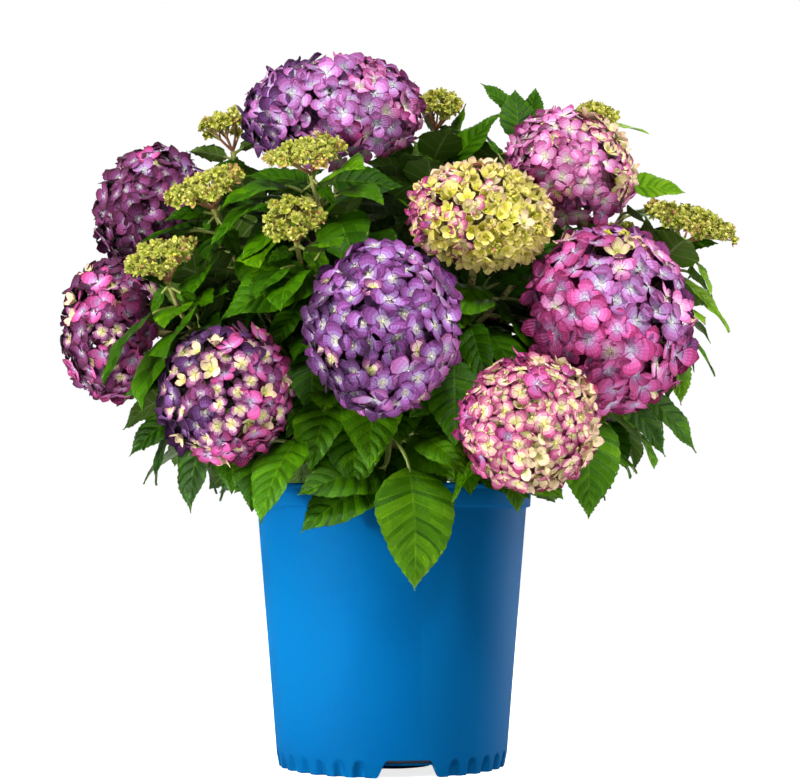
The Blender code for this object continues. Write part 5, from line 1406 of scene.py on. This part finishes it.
def deal(rule, way, rng):
    """A family for each floret, by chance from weights that lean with its direction from the head's centre."""
    weight = np.stack([np.maximum(base + way @ np.array(lean), 0.0) for _, base, lean in rule], 1) + 1e-6
    pick = (np.cumsum(weight / weight.sum(1, keepdims=True), 1) < rng.uniform(0, 1, len(way))[:, None]).sum(1)
    return np.array([FAMILIES.index(rule[k][0]) for k in np.minimum(pick, len(rule) - 1)])


def lumps(centre, axis, reach, count, rng):
    """Beads heaped in small domes about each centre: points and outward axes."""
    way = np.stack([spread_over(count, 0.05, rng) for _ in centre])
    a, b = across_and_up(axis)
    out = way[..., :1] * a[:, None] + way[..., 1:2] * b[:, None] + way[..., 2:] * axis[:, None]
    points = centre[:, None] + out * reach * rng.uniform(0.86, 1.04, (len(centre), count, 1))
    return points.reshape(-1, 3), out.reshape(-1, 3)


def kinds(*names):
    """The numbers of some of the families."""
    return [FAMILIES.index(name) for name in names]


def kept_in(parts):
    """The parts with no point outside the solids' box."""
    return [(np.clip(points, *solid_box), *rest) for points, *rest in parts]


for number, row in enumerate(SHOOTS):
    name, facing = row[0], unit(row[2])
    rng = np.random.default_rng(SEED + 40 + number)
    axes, half, middle = head_axes(row[2]), np.array(row[3:6]), vec(row[1])
    size, young, dense, rule = HEADS[name]
    area = 4 * math.pi * (half[0] * half[1] * half[2]) ** (2 / 3) * 0.86
    count = int(dense * area / (1.42 * size**2))
    parts = []
    # the neck, then rays that fork twice
    forks = spread_over(FORKS, -0.3, rng) * half * 0.42
    tips = spread_over(TIPS, -0.55, rng) * half * 0.70
    forks, tips = middle + forks @ axes, middle + tips @ axes
    neck = middle - facing * (half[2] * 0.92)
    foot = middle - facing * (half[2] + HEAD_NECK)
    path = np.array([foot + (neck - foot) * k / 3 for k in range(4)])
    parts += capped(limb(path, np.full(4, STEM_TIP_R), 10, 0.02, 3, facing), RAY)
    parts += rods(np.repeat(neck[None], FORKS, 0), forks, 0.0020, 0.0013, RAY, 6)
    parts += rods(forks[nearest(tips, forks)], tips, 0.0012, 0.0008, RAY, 5)
    # the outer shell of florets, then the sparser one: each one's share of the head's size and of the count
    for layer, (share, portion) in enumerate(((0.950, 1.0), (0.82, 0.54))):
        some = int(count * portion)
        way = spread_over(some, BALL_BACK, rng)
        family = deal(rule, way @ axes, rng)
        closed, button = np.isin(family, kinds("cream", "young")), np.isin(family, kinds("dawn", "rose"))
        cupped = (rng.uniform(0, 1, some) < young) | closed
        cup = np.where(cupped, rng.uniform(*CLOSED_CUP, some) - 0.15 * closed, rng.uniform(*OPEN_CUP, some))
        cup = np.where(button, rng.uniform(*BUTTON_CUP, some), cup)
        small = 0.72 if young < 0.5 else 0.88
        growth = np.where(button, small, np.where(cupped, small + 0.06, 1.0))
        long = size * rng.uniform(0.88, 1.18, some) * growth
        depth = share - (np.maximum(cup, 0) * 0.40 * long) / half.mean() * 0.8
        waves = (0.012 if young > 0.5 else 0.020) * np.sin(way @ np.array([5.1, 2.3, 3.7]) + number)
        uneven = waves + rng.uniform(-0.045, 0.02, some)
        place = middle + (way * half * (depth + uneven - 0.02)[:, None]) @ axes
        normal = units(units(way / half) @ axes + rng.normal(0, 0.22, (some, 3)))
        room = long[:, None] * 0.55 * np.sqrt(1 - normal**2) + 0.001
        place = np.clip(place, np.array(solid_box[0]) + room, np.array(solid_box[1]) - room)
        # florets of the sparser shell inside are painted in the darkest shade
        parts += floret_parts(place, normal, long, cup, family, rng, coarse=layer > 0, deep=layer > 0)
        parts += rods(tips[nearest(place, tips)], place, 0.0006, 0.0007, PEDICEL)
        if layer == 0:
            look = family * len(PAINTED_SHADES) * STEPS
            parts += bead_parts(place + normal * 0.0006, normal, 0.00095 + 0.0004 * cupped, 1.1, look)
    if name in UNOPENED:
        many, lean = UNOPENED[name]
        way = spread_over(120, -0.6, rng)
        way = way[np.argsort(-(way @ axes) @ np.array(lean))[:many]]
        spot = middle + (way * half * rng.uniform(0.82, 0.90, (many, 1))) @ axes
        where, out = lumps(spot, way @ axes, 0.0046, 14, rng)
        tone = BEAD + rng.choice(5, len(where), p=(0.36, 0.28, 0.14, 0.18, 0.04))
        parts += bead_parts(where, out, rng.uniform(0.0012, 0.0017, len(where)), 1.15, tone)
        parts += rods(tips[nearest(spot, tips)], spot, 0.0008, 0.0008, RAY, 4)
    head = piece("florets_" + name, kept_in(parts), floret_looks)
    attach(head, "root")
    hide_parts("bloom_" + name)


# --- Bud clusters ------------------------------------------------------------------------------------------
# Young heads, still flat: reddish and green rays fork twice from the end of a side shoot, and each carries a
# small heap of green buds and of calyces just open. Up to four small young leaves stand below the fork.
HEAP_WIDE = 0.0045
BEADS, STARS = 4, 6  # in a heap
MAIN_RAYS, YOUNG_LEAVES = 7, 4
RED_RAY, GREEN_RAY = 5, 6
bud_looks = [
    finish("bud_" + kind, tone, (0.4, 0.55), 900.0, 0.0001, 0.2, 0.3)
    for kind, tone in (
        ("yellow", (204, 200, 78)), ("green", (176, 182, 56)), ("olive", (132, 146, 40)),
        ("pale", (230, 224, 130)),
        ("pink", (204, 128, 112)), ("ray", (164, 112, 82)), ("ray_green", (160, 158, 80)),
    )
]
FLORETS_AT, LEAVES_AT = len(bud_looks), len(bud_looks) + len(floret_looks)
bud_looks += floret_looks + leaf_looks
for number, (name, _, _, centre, facing, wide, high) in enumerate(BUDS):
    rng = np.random.default_rng(SEED + 80 + number)
    axes, middle, facing = head_axes(facing), vec(centre), unit(facing)
    neck = middle - facing * (high + 0.002)
    foot = middle - facing * (high + BUD_STALK)
    path = np.array([foot + (neck - foot) * k / 4 for k in range(5)])
    radius = np.linspace(SIDE_TIP_R, SIDE_TIP_R * 1.15, 5)
    parts = capped(limb(path, radius, 10, 0.03, number, facing), GREEN_RAY)
    # heaps over the dome in a golden-angle spiral, then more of them scattered below it
    heaps = max(14, int(0.72 * (wide / 0.0060) ** 2))
    k = np.arange(heaps)
    out = np.sqrt((k + 0.5) / heaps) * (wide - HEAP_WIDE)
    turn = k * GOLDEN_TURN + rng.uniform(0, 6)
    rise = high * (1 - 0.62 * (out / wide) ** 2) - 0.0060 + rng.uniform(-0.0045, 0.0016, heaps)
    lower = int(heaps * 0.90)
    turn_low = np.arange(lower) * 2.4 + rng.uniform(0, 6)
    out_low = (0.38 + 0.60 * np.sqrt(rng.uniform(0, 1, lower))) * (wide - 0.005)
    out, turn = np.concatenate([out, out_low]), np.concatenate([turn, turn_low])
    rise_low = high * (0.90 * (out_low / wide) ** 1.5 - 0.52) + rng.uniform(-0.001, 0.003, lower)
    heaps += lower
    local = np.stack([out * np.cos(turn), out * np.sin(turn), np.concatenate([rise, rise_low])], 1)
    spot = middle + local @ axes
    axis = np.stack([local[:, 0] / wide * 0.7, local[:, 1] / wide * 0.7, np.ones(heaps)], 1) @ axes
    axis = units(axis)
    where, way = lumps(spot, axis, 0.0038, BEADS, rng)
    tone = rng.choice(5, len(where), p=(0.36, 0.26, 0.12, 0.24, 0.02))
    parts += bead_parts(where, way, rng.uniform(0.0012, 0.0020, len(where)), 1.5, tone)
    star, face = lumps(spot, axis, 0.0044, STARS, rng)
    face = units(face + rng.normal(0, 0.3, face.shape))
    size = rng.uniform(0.0038, 0.0062, len(star))
    outer = np.repeat(out / wide, STARS) + rng.normal(0, 0.2, len(star)) > 0.95
    family = np.where(outer, *kinds("blush", "calyx"))
    cup = rng.uniform(0.4, 1.1, len(star))
    stars = floret_parts(star - face * size[:, None] * 0.5, face, size, cup, family, rng, coarse=True)
    parts += [(points, faces, look + FLORETS_AT, ribs) for points, faces, look, ribs in stars]
    # the rays: from the stalk's end to the forks, and from each fork to the heaps nearest to it
    turn = np.arange(MAIN_RAYS) / MAIN_RAYS * 2 * math.pi + rng.uniform(0, 1)
    spread_r = 0.36 * wide
    fork = np.stack([spread_r * np.cos(turn), spread_r * np.sin(turn), np.full(MAIN_RAYS, -0.42 * high)], 1)
    fork = middle + fork @ axes
    parts += rods(np.repeat(neck[None], MAIN_RAYS, 0), fork, 0.0012, 0.0009, RED_RAY, 6)
    ray_looks = np.repeat(rng.choice([RED_RAY, GREEN_RAY], heaps), 4)
    parts += rods(fork[nearest(spot, fork)], spot, 0.0009, 0.0006, ray_looks, 4)
    for k in range(YOUNG_LEAVES):
        turned_by = k * math.pi / 2 + rng.uniform(-0.6, 0.6)
        side = axes[0] * math.cos(turned_by) + axes[1] * math.sin(turned_by)
        root = neck - facing * rng.uniform(0.001, 0.008)
        lead = unit(side + vec(0, 0, rng.uniform(0.3, 0.8) if k % 2 else rng.uniform(-1.0, -0.5)))
        long = rng.uniform(0.022, 0.038)
        wide_of, droop = long * rng.uniform(0.36, 0.5), rng.uniform(0.4, 1.1)
        upper = facing * 0.6 + vec(0, -1 if middle[1] < 0.06 else 1, 0.2)
        young = make_leaf(name, root, root + lead * 0.007, lead, upper, long, wide_of, droop, 0.25)
        young["phase"] = rng.uniform(0, 6.28)
        made = leaf_parts(young, rng.uniform(4.0, 9.0), 5, rng, False)
        reach = np.concatenate([np.reshape(part[0], (-1, 3)) for part in made])
        if (reach > np.array(solid_box[0])).all() and (reach < np.array(solid_box[1])).all():
            parts += [(part[0], part[1], np.asarray(part[2]) + LEAVES_AT) for part in made]
    cluster = piece("bud_cluster_" + name, kept_in(parts), bud_looks)
    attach(cluster, "root")
    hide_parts("buds_" + name)
